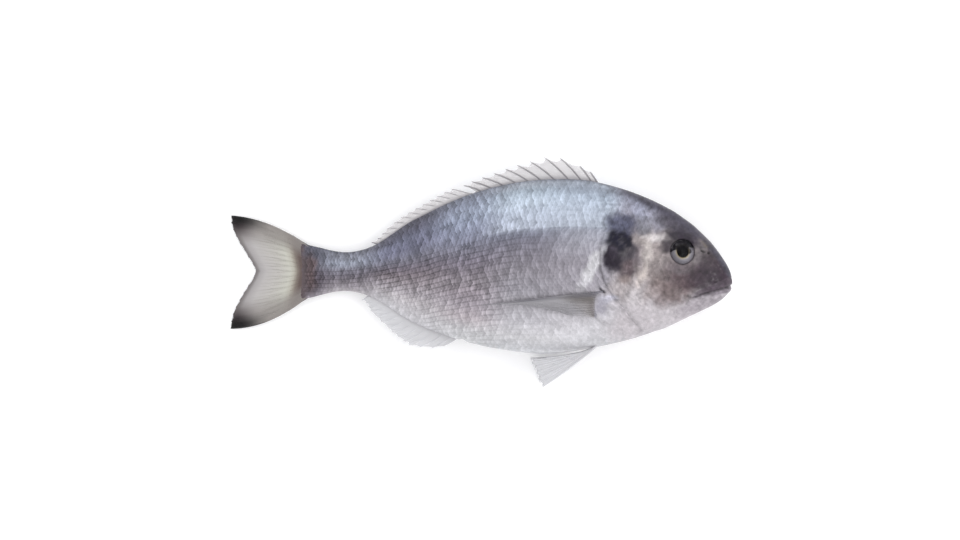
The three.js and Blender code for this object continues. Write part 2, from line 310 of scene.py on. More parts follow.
gillEdge = smoothCurve(skin["gillEdge"])


def columnPlaces():
    count = skin["headColumns"]
    share = np.arange(1, count + 1) / count
    head = skin["gillColumn"] * (0.5 * share ** 2 + 0.5 * share)
    gill = skin["gillColumn"] + np.array([0.14, 0.3, 0.62, 1.0])
    fine = np.linspace(skin["gillColumn"] + 1.0, fish["length"], 4000)
    passed = scaleColumn(fine) - scaleColumn(fine[0])
    steps = np.arange(1, int(passed[-1] * skin["stepsPerScale"])) / skin["stepsPerScale"]
    trunk = np.interp(steps, passed, fine)
    tail = fish["length"] + np.array([0, 0.25, 0.5, 0.75, 0.92, 1.0]) * skin["tailSkin"]
    return np.concatenate([head, gill, trunk, tail])


def scaleColumn(behind):  # how many scales have passed since the snout
    places = np.linspace(0, 270, 541)
    pitches = [scales[name] for name in ("pitchHead", "pitchHead", "pitchShoulder", "pitchTail")]
    pitch = np.interp(places, [0, 30, skin["gillColumn"], fish["length"]], pitches)
    return np.interp(behind, places, np.concatenate([[0], np.cumsum(0.5 / pitch[1:])]))


def ringAngles():  # from the back, 90, to the belly, -90, nearly evenly along the skin
    fine = np.linspace(90, -90, 1801)
    turn = np.radians(fine)
    walked = np.cumsum(np.hypot(np.gradient(50 * np.sin(turn)), np.gradient(19 * np.cos(turn))))
    walked = (walked - walked[0]) / (walked[-1] - walked[0])
    even = np.linspace(0, 1, len(fine))
    return np.interp(np.linspace(0, 1, skin["sideRows"] + 1), 0.75 * walked + 0.25 * even, fine)


def skinGrid():
    right = ringAngles()
    angles = np.concatenate([right, right[-2:0:-1]])
    side = np.where(np.arange(len(angles)) <= skin["sideRows"], 1.0, -1.0)
    column = columnPlaces()[:, None] + 0 * angles[None, :]
    angle = angles[None, :] + 0 * column
    shift = gillEdge(angle) - skin["gillColumn"]
    before, after = skin["gillReach"]
    gill = skin["gillColumn"]
    follow = np.where(column < gill, ease(before, gill, column), ease(gill + after, gill, column))
    past = np.maximum(column - fish["length"], 0)
    lobed = past * (1 + skin["tailLobe"] / skin["tailSkin"] * np.sin(np.radians(angle)) ** 2)
    behind = np.minimum(column, fish["length"]) + shift * follow
    return column, angle, side[None, :] + 0 * column, behind, lobed


def skinSurface():
    column, angle, side, behind, lobed = skinGrid()
    turn = np.radians(angle)
    rise = np.sin(turn)
    middle = widestLine(behind)
    spread = skin["tailSpread"] * lobed
    edge = np.where(rise > 0, backLine(behind) + spread, bellyLine(behind) - spread)
    high = middle + np.abs(rise) * (edge - middle)
    ridge = np.where(rise > 0, backRidge(behind), bellyRidge(behind))
    reach = fish["halfWidth"] * widthShare(behind) * np.abs(np.cos(turn)) ** ridge
    thin = ease(skin["tailSkin"], 0, np.maximum(column - fish["length"], 0))
    reach = reach * lerp(0.2, 1, thin)
    up = middleHeight(behind) - skin["tailDroop"] * lobed + side * reach
    points = np.stack([-(behind + lobed), high, up], axis=-1)
    return points, column, angle, side, behind + lobed


def skinNormals(points, side):
    around = np.roll(points, -1, axis=1) - np.roll(points, 1, axis=1)
    along = np.gradient(points, axis=0)
    normal = np.cross(along, around)
    normal /= np.maximum(np.linalg.norm(normal, axis=2, keepdims=True), 1e-9)
    return normal * np.sign((normal[..., 2] * side).sum())


def gillRelief(column, angle):  # the cover's edge stands proud, and a slot runs under it
    profile = np.interp(column - skin["gillColumn"], [-14, -5, -1.5, 0, 0.14, 0.3, 0.62, 1.0, 2.4, 5, 9],
                        [0, 0.3, 0.52, 0.6, 0.25, -0.35, -0.55, -0.5, -0.35, -0.2, 0])
    lower = lerp(0.45, 1, ease(-60, -20, angle)) * lerp(1, 0.6, ease(-25, 5, angle))
    return profile * ease(31, 18, angle) * lower


# ridges and grooves of the head: [line, shares over which its ends fade, [offset, width, height]]
headLines = [
    ("cheekplate", 0.1, 0.15, [(-1.4, 1.6, 0.3), (0.25, 0.6, -0.42)]),
    ("cheekEdge", 0.1, 0.15, [(0, 0.8, -0.2)]),
    ("coverSeam", 0.2, 0.2, [(0, 0.6, -0.25)]),
    ("shoulderFold", 0.25, 0.25, [(0, 0.9, -0.4)]),
]


def skinRelief(points, column, angle, side, behind):
    high = points[..., 1]
    relief = gillRelief(column, angle)
    # mouth: a cut between two lips, the upper one thick in front
    offMouth, _ = offLine(behind, high, skin["mouth"])
    relief -= hump(offMouth, 0, 0.6) * ease(28.5, 25, behind)
    fullLip = ease(30, 4, behind)
    relief += 0.75 * hump(offMouth, 2.1, 1.5) * fullLip + 0.55 * hump(offMouth, -1.9, 1.3) * fullLip
    relief -= 0.35 * hump(offMouth, 4.3, 0.7) * ease(27, 20, behind)
    # eye rim and the socket's floor
    fromEye = np.hypot(behind - skin["eye"][0], high - skin["eye"][1])
    relief += 0.6 * hump(fromEye, 8.7, 1.25) - 2.2 * ease(7.9, 6.0, fromEye)
    relief += 0.35 * spot(behind, high, (31, 21.5), (11, 4.5), tilt=-35, soft=0.8)
    for middle, radii, depth in skin["nostrils"]:
        relief -= depth * spot(behind, high, middle, radii, tilt=25, soft=0.55)
        fromHole = np.hypot((behind - middle[0]) / radii[0], (high - middle[1]) / radii[1])
        relief += 0.22 * hump(fromHole, 1.9, 0.6)
    # the bones of the cheek and gill cover
    relief += 0.5 * spot(behind, high, (41, -1), (8, 11), tilt=8, soft=0.9)
    for name, fadeIn, fadeOut, swells in headLines:
        away, along = offLine(behind, high, skin[name])
        within = ease(0, fadeIn, along) * ease(1, 1 - fadeOut, along)
        for offset, width, height in swells:
            relief += height * hump(away, offset, width) * within
    for fold in (-3.2, -6.6):  # the folded skin under the gill cover
        relief -= 0.22 * hump(column - skin["gillColumn"], fold, 0.55) * ease(-24, -38, angle)
    # root of the pectoral fin, and low ridges along the roots of the dorsal and anal fins
    lobe = spot(behind, high, skin["lobe"], (5.0, 9.0), tilt=-6, soft=0.75)
    relief += lobe * np.where(side > 0, 1.3, 0.2)
    relief += 0.5 * hump(angle, 80, 7) * ease(78, 86, behind) * ease(214, 206, behind)
    relief += 0.4 * hump(angle, -80, 7) * ease(162, 168, behind) * ease(220, 214, behind)
    relief -= 0.9 * hump(np.hypot(behind - skin["vent"], (angle + 90) / 6), 0, 1.8)
    # slack flesh: low, wide unevenness
    relief += 0.16 * cloud(behind, high, 17, 3) + 0.05 * cloud(behind, high, 5, 4)
    return relief


def scaleCoordinates(points, column, behind):
    steps = np.linalg.norm(np.diff(points, axis=1), axis=2)
    walked = np.concatenate([np.zeros((len(points), 1)), np.cumsum(steps, axis=1)], axis=1)
    half = skin["sideRows"]
    lineHigh = lateralLine(behind[:, :half + 1])
    above = points[:, :half + 1, 1] - lineHigh
    crossing = np.argmax(above < 0, axis=1)
    rows = np.arange(len(points))
    upper, lower = above[rows, crossing - 1], above[rows, crossing]
    share = upper / np.maximum(upper - lower, 1e-6)
    start = lerp(walked[rows, crossing - 1], walked[rows, crossing], share)
    pitch = np.interp(column[:, 0], [30, skin["gillColumn"], fish["length"]],
                      [0.8 * scales["rowShoulder"], scales["rowShoulder"], scales["rowTail"]])
    right = (start[:, None] - walked[:, :half + 1]) / pitch[:, None]
    row = np.concatenate([right, right[:, -2:0:-1]], axis=1)
    high = points[..., 1]
    unevenColumn = 0.16 * cloud(behind, high, 6, 31) + 0.08 * cloud(behind, high, 3, 32)
    unevenRow = 0.10 * cloud(behind, high, 7, 33) + 0.05 * cloud(behind, high, 3, 34)
    return scaleColumn(column) + unevenColumn, row + unevenRow


def scalyShare(column, angle, behind, high):  # 1 where the skin has scales
    trunk = ease(-0.4, 1.2, column - skin["gillColumn"])
    offPlate, _ = offLine(behind, high, skin["cheekplate"])
    cover = ease(0.6, 2.2, offPlate) * (column < skin["gillColumn"] - 1.2) * ease(-38, -26, angle)
    cheek = spot(behind, high, (41.5, 0), (6.5, 13), tilt=8, soft=0.35)
    nape = ease(36, 46, behind + 0.5 * (high - 30)) * ease(20, 26, high)
    bare = spot(behind, high, skin["lobe"], (5.0, 8.5), tilt=-6, soft=0.8)
    share = np.maximum.reduce([trunk, 0.75 * cover, 0.7 * cheek, nape])
    return share * (1 - bare) * ease(4.2, 1.5, column - fish["length"] + 1)


def scaleContrast(level, behind):  # single scales stand out little on the belly, most to the rear
    rear = lerp(0.62, 1.25, ease(95, 165, behind))
    return rear * lerp(0.42, 1, ease(0.02, 0.3, level))


def pectoralDent(points, side, behind):  # room for the left pectoral fin under the flank
    tips = pectoralTips()
    top, bottom = pectoral["rootTop"], pectoral["rootBottom"]
    lower = np.interp(behind, np.append([bottom[0]], tips[::-1, 0]), np.append([bottom[1]], tips[::-1, 1]))
    upper = np.interp(behind, [top[0], tips[0, 0]], [top[1], tips[0, 1]])
    high = points[..., 1]
    inside = ease(lower - 2.2, lower - 0.6, high) * ease(upper + 2.2, upper + 0.6, high)
    inside = inside * ease(77.5, 79.5, behind) * ease(154, 152, behind) * (side < 0)
    return np.maximum(points[..., 2], inside * pectoral["room"])


# Colours that lie on the skin by place, as they look, and a few painted highlights:
# [colour, ovals of middle, radii, tilt, softness, strength]

markingsAndHighlights = [
    ("#989bad", [((53, 35), (10, 8), 30, 0.7, 0.9)]),  # nape
    ("#8b8a96", [((45, 30), (8, 6), 30, 0.7, 0.9)]),
    ("#77777f", [((54.5, 27), (5, 4.5), 20, 0.7, 0.9)]),
    ("#514d57", [((31, 27), (14, 7), 42, 0.5, 1), ((39, 31), (10, 5), 36, 0.6, 0.8)]),  # forehead
    ("#9a9190", [((45, 5), (10, 15), 4, 0.5, 0.95)]),  # cheek
    ("#8c8385", [((35, 1), (9, 7), 0, 0.7, 0.9)]),
    ("#857877", [((43, -9), (8, 8), 0, 0.6, 0.9)]),
    ("#b4acad", [((64, -9), (9, 8), 0, 0.6, 0.9)]),
    ("#b0a5a5", [((50, -16), (8, 5), -30, 0.6, 0.8)]),
    ("#c8c2c6", [((52, -27), (24, 9), -22, 0.45, 0.95),  # throat
                 ((30, -24), (18, 6), -22, 0.5, 0.95)]),
    ("#ccc7ca", [((59, -16), (5, 6), 0, 0.7, 0.8)]),
    ("#aaa3a9", [((17, -18), (16, 5.5), -24, 0.5, 1)]),  # lower jaw
    ("#7a6d6d", [((35, -12.5), (12, 7), -18, 0.5, 0.95),  # behind the mouth
                 ((42, -17), (5, 4.5), -20, 0.6, 0.8)]),
    ("#5a4c50", [((27, -2), (12, 9), 14, 0.45, 1)]),  # under the eye
    ("#726a6e", [((31, 2.5), (8, 4), 0, 0.6, 0.8)]),
    ("#40363f", [((10, 0), (13, 9.5), 10, 0.4, 1), ((15, -5), (12, 7), 14, 0.5, 0.9)]),  # snout
    ("#453c42", [((14, 8), (7, 6.5), 20, 0.5, 0.85)]),
    ("#645e61", [((21.5, 9.5), (3.6, 4.6), 30, 0.6, 0.75)]),
    ("#322c36", [((30, 19), (11.5, 4.4), 14, 0.5, 0.97),  # dark brow
                 ((38.5, 15.5), (4.6, 6), 20, 0.6, 0.85)]),
    ("#4a4347", [((11, 12.5), (7, 3.6), 48, 0.6, 0.9)]),
    ("#a89a86", [((15.6, 16.8), (4.2, 1.7), 42, 0.7, 0.85)]),  # gold band between the eyes
    ("#d8d2d3", [((47, 20.6), (6.6, 2.3), 4, 0.7, 0.95)]),  # pale streaks behind the eye, partly pale skin and partly a painted highlight
    ("#c0b8b5", [((50.5, 12), (2.4, 8), 0, 0.7, 0.9)]),
    ("#d0c5c0", [((54.6, -2), (2.8, 6), 24, 0.7, 0.9)]),
    ("#6a6169", [((59.5, 9), (4, 9), 0, 0.6, 0.85)]),  # rusty patch
    ("#62565a", [((63.5, 2), (6.4, 6), 10, 0.45, 0.95)]),
    ("#55576b", [((67, 27.8), (9.4, 6.8), 4, 0.4, 0.95)]),  # blotch: blue-grey above
    ("#231f2f", [((68, 17.4), (9.4, 7.4), 0, 0.3, 1),  # its dark middle
                 ((67.5, 11.5), (8.5, 6), 0, 0.4, 0.75)]),
    ("#332e37", [((72.2, 7.2), (5.2, 8.4), 4, 0.32, 1)]),
    ("#4c4753", [((70.8, 12.4), (1.8, 1.2), 0, 0.8, 0.6)]),
    ("#8f817e", [((65, -4.5), (4, 2.6), 0, 0.6, 0.7)]),
    ("#dddce0", [((84.8, 1.5), (3.2, 12), 30, 0.6, 1)]),  # painted highlight: a pale streak behind the cover
    ("#26232b", [((77.4, -11), (2.7, 1.1), 8, 0.45, 0.95)]),  # dark spot over the pectoral fin
    ("#cbc9d6", [((74.5, -16), (5.5, 2.6), -10, 0.5, 0.9)]),  # painted highlight on the pale root of the pectoral fin
    ("#a8a5b0", [((78.5, -21.5), (3, 5), -6, 0.6, 0.85)]),
    ("#6a5c5e", [((251.8, -1.5), (4.6, 11), 0, 0.5, 0.92)]),  # skin over the tail's root
    ("#62575a", [((258.4, -0.6), (4, 30), 0, 0.4, 1)]),
]

# painted shade along the skin's grooves: [points, width, share of light left]
grooveShadeLines = [
    ([(79, 16), (79, 2), (75.5, -9)], 0.9, 0.6),
    ([(72, -13), (65.5, -20), (61, -26), (56, -32), (52, -38)], 1.3, 0.76),  # the cover's edge
    ([(78.5, -11.5), (83.5, -17), (84.5, -23), (80, -28.5), (73, -32.5)], 1.2, 0.72),  # fin root
    ([(55.5, 20), (57, 14), (57.6, 5), (57, -4), (53.5, -11.5), (47, -18), (38, -22.5)], 0.8, 0.78),
    ([(48.6, 12), (48.4, -2), (44.6, -10.5), (38, -15.5)], 0.8, 0.86),
    ([(1, -8.5), (10, -11.4), (18, -13.8), (25.6, -16.0)], 0.75, 0.6),  # mouth
    ([(24.6, -14.6), (26.2, -15.0), (27.4, -14.0)], 1.0, 0.5),
]


def paintMarkingsAndHighlights(behind, high):
    wander = 1.5 * cloud(behind, high, 4.5, 11) + 0.8 * cloud(behind, high, 2.0, 12)
    waver = 1.5 * cloud(behind, high, 4.5, 13) + 0.8 * cloud(behind, high, 2.0, 14)
    patches = 0.6 * cloud(behind, high, 1.7, 18) + 0.6 * cloud(behind, high, 0.9, 19)
    colour = np.zeros(behind.shape + (3,))
    cover = np.zeros(behind.shape)

    def lay(hexColour, share):
        nonlocal colour, cover
        total = share + cover * (1 - share)
        under = colour * (cover * (1 - share))[..., None]
        mixed = np.array(underGloss(hexColour)[:3]) * share[..., None] + under
        colour = mixed / np.maximum(total, 1e-6)[..., None]
        cover = total

    for hexColour, ovals in markingsAndHighlights:
        share = np.zeros(behind.shape)
        for *oval, strength in ovals:
            share = np.maximum(share, strength * spot(behind + wander, high + waver, *oval))
        lay(hexColour, share * (1 - 0.13 * ease(0.0, 0.9, patches)))
    fromRidge = backLine(behind) - high + 0.4 * wander
    ridgeWidth = np.interp(behind, [0, 25, 45, 56, 68, 80], [9, 8, 7.5, 6.5, 5.6, 4])
    lay("#4b4854", 0.92 * ease(1, 0.4, fromRidge / ridgeWidth) * ease(80, 52, behind))
    lips = lipShare(behind, high)
    lower = ease(0.3, -0.3, offLine(behind, high, skin["mouth"])[0])
    lay("#574c56", 0.8 * lips * (1 - lower))
    lay("#857d85", 0.9 * lips * lower)
    return np.concatenate([colour, cover[..., None]], axis=-1)


# painted shade along the grooves, in the nostrils and round the eye socket, times the skin's own dark flecks
def grooveShade(behind, high):
    shade = np.ones(behind.shape)
    waver = 0.5 * cloud(behind, high, 3.5, 15)
    for points, width, left in grooveShadeLines:
        away, along = offLine(behind, high, points)
        fade = ease(0.0, 0.12, along) * ease(1.0, 0.85, along)
        shade *= 1 - (1 - left) * hump(away + waver, 0, width) * fade
    for middle, radii, _ in skin["nostrils"]:
        shade *= 1 - 0.75 * spot(behind, high, middle, radii, tilt=25, soft=0.4)
    fromEye = np.hypot(behind - skin["eye"][0], high - skin["eye"][1])
    shade *= 1 - 0.15 * ease(8.6, 7.4, fromEye)
    fleck = 0.24 * cloud(behind, high, 2.4, 16) + 0.26 * cloud(behind, high, 1.2, 17)
    onHead = lerp(0.35, 1, ease(84, 74, behind)) * lerp(0.4, 1, ease(-26, -14, high))
    return shade * (1 + fleck * onHead)


def lipShare(behind, high):
    offMouth, _ = offLine(behind, high, skin["mouth"])
    away = np.abs(offMouth - 1.2) * lerp(1, 2.4, ease(3, 26, behind))  # the lips thin to the corner
    return ease(4.6, 3.4, away) * ease(27.5, 19, behind)


# Fresh fish skin: clear horny scales with mirror platelets under them, over dark or white
# pigment, and wet with slime. It shines in a broken way, scale by scale, under a smooth gloss.
freshSkin = {
    "metallic": 0.3,
    "roughness": 0.42,
    "ior": 1.34,
    "gloss": 0.25,
    "glossRoughness": 0.14,
    "scaleShine": (0.88, 1.5),  # the least and most that one scale mirrors
    "growthRings": 44.0,  # how tight the rings on a scale are
    # colours as they look, from the belly (0) over the lateral line (0.5) to the back's ridge (1); the pale
    # blue band just above the lateral line is partly the skin's own colour and partly a painted sheen
    "head": [(0.0, "#c6c2c6"), (0.15, "#c5bfc3"), (0.3, "#b5adae"), (0.45, "#a29998"), (0.6, "#9a9192"),
             (0.75, "#908e9a"), (0.9, "#8a8b99"), (1.0, "#5f5d69")],
    "shoulder": [(0.0, "#c6c6c9"), (0.05, "#cfced2"), (0.14, "#c6c3c8"), (0.2, "#b2aeb4"),
                 (0.27, "#aba7af"), (0.36, "#a9a5ae"), (0.43, "#abaab4"), (0.485, "#a4a6b2"),
                 (0.5, "#a7acb9"), (0.512, "#b5bcc9"), (0.75, "#b0bac9"), (0.83, "#a6b1c0"),
                 (0.9, "#9da6b4"), (0.965, "#9aa1ad"), (1.0, "#787c87")],
    "flank": [(0.0, "#cfd0d4"), (0.06, "#c3c2c5"), (0.14, "#c6c4ca"), (0.2, "#b5b2b8"), (0.26, "#a9a6ae"),
              (0.33, "#9f9ba3"), (0.39, "#94909a"), (0.45, "#8a8895"), (0.48, "#8b8d9c"), (0.498, "#a4a9b8"),
              (0.512, "#bfc6d5"), (0.68, "#b2bbca"), (0.76, "#b8c3d1"), (0.83, "#b1bdcb"), (0.9, "#9faab6"),
              (0.965, "#a0a6b0"), (1.0, "#8b8f9a")],
    "middle": [(0.0, "#cdced0"), (0.06, "#c5c4c7"), (0.12, "#bab2b7"), (0.19, "#b3abb3"), (0.25, "#a89fa7"),
               (0.3, "#9c959c"), (0.35, "#8c858e"), (0.4, "#8e8895"), (0.46, "#888795"), (0.5, "#8a8c9d"),
               (0.6, "#979cb0"), (0.74, "#979fb2"), (0.82, "#99a1b3"), (0.92, "#8b91a2"), (1.0, "#7c808c")],
    "rear": [(0.0, "#d2d1d5"), (0.08, "#c9c6ca"), (0.16, "#bdb8bc"), (0.22, "#aea8ae"), (0.3, "#9c949a"),
             (0.36, "#8b8289"), (0.42, "#7f7883"), (0.48, "#83818e"), (0.53, "#7b7b8a"), (0.65, "#76778a"),
             (0.78, "#75778a"), (0.88, "#646473"), (1.0, "#5c5b66")],
    "stalk": [(0.0, "#b5b0b4"), (0.1, "#9b959c"), (0.2, "#8a848b"), (0.33, "#807b85"), (0.46, "#8a8894"),
              (0.54, "#9698a5"), (0.66, "#9ba0ae"), (0.78, "#8a8d99"), (0.9, "#7b7d88"), (1.0, "#6a6c76")],
    "root": [(0.0, "#98929a"), (0.12, "#77717a"), (0.3, "#6a626c"), (0.46, "#706a75"), (0.56, "#7c7a86"),
             (0.74, "#6c6c79"), (0.9, "#62636f"), (1.0, "#5c5c68")],
    "reach": {"shoulder": (60, 76), "flank": (88, 124), "middle": (128, 156), "rear": (158, 186),
              "stalk": (203, 226), "root": (236, 249)},
    # painted highlight just inside a scale's free edge, painted shade towards its root
    "edgeHighlightAndShade": [(0.0, 0.6), (0.05, 0.8), (0.12, 1.0), (0.28, 0.84), (0.6, 0.74), (1.0, 0.6)],
}


def skinMaterial():
    material, tree = newMaterial("freshScaledSkin")
    level, along, scaly, painted, lattice, contrast, grooveShadeAndFlecks = (
        addNode(tree, "Attribute", attribute_name=name)
        for name in ("level", "along", "scaly", "markingsAndHighlights", "lattice", "contrast", "grooveShadeAndFlecks"))
    colour = addNode(tree, "ValToRGB", {0: level}, stops=freshSkin["head"], paint=underGloss)
    for part, (start, end) in freshSkin["reach"].items():
        here = addNode(tree, "ValToRGB", {0: level}, stops=freshSkin[part], paint=underGloss)
        share = addNode(tree, "MapRange", {0: along, 1: start, 2: end}, interpolation_type="SMOOTHSTEP")
        colour = addNode(tree, "MixRGB", {0: share, 1: colour, 2: here})
    colour = addNode(tree, "MixRGB", {0: painted.outputs["Alpha"], 1: colour, 2: painted})

    # which scale this is, and how far from its free edge
    column, row, depth = addNode(tree, "SeparateXYZ", {0: lattice.outputs["Vector"]}).outputs
    found = []
    for family in (0, 1):
        scaleRow = row
        for step, value in (("SUBTRACT", family), ("DIVIDE", 2), ("ROUND", 0), ("MULTIPLY", 2),
                            ("ADD", family)):
            scaleRow = addNode(tree, "Math", {0: scaleRow, 1: value}, operation=step)
        offRow = addNode(tree, "Math", {0: row, 1: scaleRow}, operation="SUBTRACT")
        chord = addNode(tree, "Math", {0: offRow, 1: scales["halfBreadth"]}, operation="DIVIDE")
        for step, value in (("MULTIPLY", chord), ("MULTIPLY", -1), ("ADD", 1), ("MAXIMUM", 0), ("SQRT", 0),
                            ("MULTIPLY", scales["chord"])):
            chord = addNode(tree, "Math", {0: chord, 1: value}, operation=step)
        root = column
        for step, value in (("SUBTRACT", chord), ("SUBTRACT", family / 2), ("CEIL", 0), ("ADD", family / 2)):
            root = addNode(tree, "Math", {0: root, 1: value}, operation=step)
        edge = addNode(tree, "Math", {0: root, 1: chord}, operation="ADD")
        edge = addNode(tree, "Math", {0: edge, 1: column}, operation="SUBTRACT")
        found.append((root, edge, scaleRow, offRow))
    second = addNode(tree, "Math", {0: found[0][0], 1: found[1][0]}, operation="GREATER_THAN")
    root, edge, scaleRow, offRow = (
        addNode(tree, "Mix", {0: second, 2: first, 3: other}) for first, other in zip(*found))
    name = addNode(tree, "CombineXYZ", {0: root, 1: scaleRow})
    chance = addNode(tree, "TexWhiteNoise", {0: name}, noise_dimensions="3D")
    shineChance, tiltChance, roughChance = addNode(tree, "SeparateXYZ", {0: chance.outputs["Color"]}).outputs

    # painted reflection and shade: each scale is a little lighter or darker than its neighbours, with a
    # painted highlight just inside its free edge and painted shade towards its root; thin dark lines part the
    # rows
    least, most = freshSkin["scaleShine"]
    shine = addNode(tree, "MapRange", {0: shineChance, 3: least, 4: most})
    edgeHighlightAndShade = addNode(tree, "ValToRGB", {0: edge}, stops=freshSkin["edgeHighlightAndShade"])
    shade = addNode(tree, "Math", {0: shine, 1: edgeHighlightAndShade}, operation="MULTIPLY")
    parting = addNode(tree, "Math", {0: row, 1: 0.5}, operation="PINGPONG")
    parting = addNode(tree, "MapRange", {0: parting, 1: 0.2, 2: 0.5}, interpolation_type="SMOOTHSTEP")
    parting = addNode(tree, "Math", {0: parting, 1: depth}, operation="MULTIPLY")
    parting = addNode(tree, "Math", {0: 1.0, 1: parting}, operation="SUBTRACT")
    shade = addNode(tree, "Math", {0: shade, 1: parting}, operation="MULTIPLY")
    strength = addNode(tree, "Math", {0: scaly, 1: contrast}, operation="MULTIPLY")
    shade = addNode(tree, "Mix", {0: strength, 2: 1.0, 3: shade}, clamp_factor=False)
    # painted shade of the grooves, nostrils and eye socket, with the head's own flecks
    shade = addNode(tree, "Math", {0: shade, 1: grooveShadeAndFlecks}, operation="MULTIPLY")
    place = addNode(tree, "TexCoord").outputs["Object"]
    grain = addNode(tree, "TexNoise", {"Vector": place, "Scale": 1 / (0.7 * mm), "Detail": 4.0,
                                       "Roughness": 0.7})
    # bare skin has tiny dark pigment cells
    cells = addNode(tree, "TexVoronoi", {"Vector": place, "Scale": 1 / (0.75 * mm), "Randomness": 1.0})
    cells = addNode(tree, "MapRange", {0: cells, 1: 0.1, 2: 0.32, 3: 0.8, 4: 1.0})
    grainy = addNode(tree, "MapRange", {0: grain, 1: 0.3, 2: 0.7, 3: 0.84, 4: 1.16})
    bare = addNode(tree, "Math", {0: cells, 1: grainy}, operation="MULTIPLY")
    fine = addNode(tree, "MapRange", {0: grain, 1: 0.3, 2: 0.7, 3: 0.9, 4: 1.1})
    bare = addNode(tree, "Mix", {0: scaly, 2: bare, 3: fine})
    mottle = addNode(tree, "TexNoise", {"Vector": place, "Scale": 1 / (2.2 * mm), "Detail": 3.0})
    mottle = addNode(tree, "MapRange", {0: mottle, 1: 0.3, 2: 0.7, 3: 0.9, 4: 1.1})
    for tint in (shade, bare, mottle):
        colour = addNode(tree, "MixRGB", {0: 1.0, 1: colour, 2: tint}, blend_type="MULTIPLY")

    # relief: tilted scales, each with fine growth rings, and pores where the skin is bare
    raised = addNode(tree, "MapRange", {0: edge, 1: 0.0, 2: 1.0, 3: 1.0, 4: 0.0})
    tilt = addNode(tree, "MapRange", {0: tiltChance, 3: -0.55, 4: 0.55})
    tilted = addNode(tree, "Math", {0: tilt, 1: offRow, 2: raised}, operation="MULTIPLY_ADD")
    rings = addNode(tree, "Math", {0: edge, 1: freshSkin["growthRings"]}, operation="MULTIPLY")
    rings = addNode(tree, "Math", {0: rings}, operation="SINE")
    tilted = addNode(tree, "Math", {0: rings, 1: 0.03, 2: tilted}, operation="MULTIPLY_ADD")
    height = addNode(tree, "Mix", {0: scaly, 2: grain, 3: tilted})
    height = addNode(tree, "Math", {0: height, 1: contrast}, operation="MULTIPLY")
    bump = addNode(tree, "Bump", {"Height": height, "Strength": 0.55, "Distance": 0.16 * mm})

    roughness = freshSkin["roughness"]
    roughness = addNode(tree, "MapRange", {0: roughChance, 3: roughness - 0.1, 4: roughness + 0.1})
    metallic = addNode(tree, "Math", {0: scaly, 1: freshSkin["metallic"]}, operation="MULTIPLY")
    shader = addNode(tree, "BsdfPrincipled", {
        "Base Color": colour, "Metallic": metallic, "Roughness": roughness, "IOR": freshSkin["ior"],
        "Specular IOR Level": 0.4,
        "Coat Weight": freshSkin["gloss"], "Coat Roughness": freshSkin["glossRoughness"], "Coat IOR": 1.34,
        "Normal": bump,
    })
    addNode(tree, "OutputMaterial", {0: shader})
    return material


def buildSkin():
    points, column, angle, side, behind = skinSurface()
    normal = skinNormals(points, side)
    high = points[..., 1]
    scaleCol, scaleRow = scaleCoordinates(points, column, behind)
    scaly = scalyShare(column, angle, behind, high)
    relief = skinRelief(points, column, angle, side, behind)
    back, belly, line = backLine(behind), bellyLine(behind), lateralLine(behind)
    level = np.where(high > line, 0.5 + 0.5 * (high - line) / np.maximum(back - line, 1),
                     0.5 - 0.5 * (line - high) / np.maximum(line - belly, 1))
    contrast = scaleContrast(level, behind)
    relief += scales["relief"] * scaly * contrast * (0.6 - np.clip(scaleEdge(scaleCol, scaleRow), 0, 1.2))
    tube = hump(scaleRow, 0, 0.35) * hump(scaleCol % 1, 0.5, 0.3) * (column > skin["gillColumn"] + 3)
    relief += scales["tubeRelief"] * tube
    points = points + normal * relief[..., None]
    up = points[..., 2]
    points[..., 2] = np.where(side < 0, 0.5 * (up + np.sqrt(up * up + skin["settle"] ** 2)), up)
    points[..., 2] = pectoralDent(points, side, behind)

    # how dark the lines between rows are
    uneven = 0.75 + 0.5 * cloud(behind, high, 9, 35)
    parting = 0.07 + 0.3 * ease(85, 150, behind) * ease(0.56, 0.44, level) * uneven
    attributes = {
        "level": level.ravel(),
        "along": behind.ravel(),
        "scaly": scaly.ravel(),
        "contrast": contrast.ravel(),
        "grooveShadeAndFlecks": grooveShade(behind, high).ravel(),
        "lattice": np.stack([scaleCol, scaleRow, parting], axis=-1).reshape(-1, 3),
        "markingsAndHighlights": paintMarkingsAndHighlights(behind, high).reshape(-1, 4),
    }
    rows, around = column.shape
    index = np.arange(rows * around).reshape(rows, around)
    nextAround = np.roll(index, -1, axis=1)
    quads = np.stack([index[:-1], nextAround[:-1], nextAround[1:], index[1:]], axis=-1).reshape(-1, 4)
    faces = quads.tolist()
    nose = rows * around
    faces += [[nose, int(nextAround[0, k]), int(index[0, k])] for k in range(around)]
    half = skin["sideRows"]
    last = index[-1]
    for k in range(half):  # close the thin edge over the tail's root
        opposite, before = last[-k % around], last[-(k + 1) % around]
        ring = [int(last[k]), int(opposite), int(before), int(last[k + 1])]
        faces.append(list(dict.fromkeys(ring)))
    tip = np.array([[0.0, fish["back"][0][1], fish["middle"][0][1]]])
    allPoints = np.concatenate([points.reshape(-1, 3), tip])
    for name, values in attributes.items():
        attributes[name] = np.concatenate([values, values[:1]])
    makePiece("bodySkin", allPoints, faces, [skinMaterial()], "body", attributes=attributes)


# Fins: bony rays in a thin skin

def bend(root, middle, tip):
    return np.array([root, middle, tip], float)


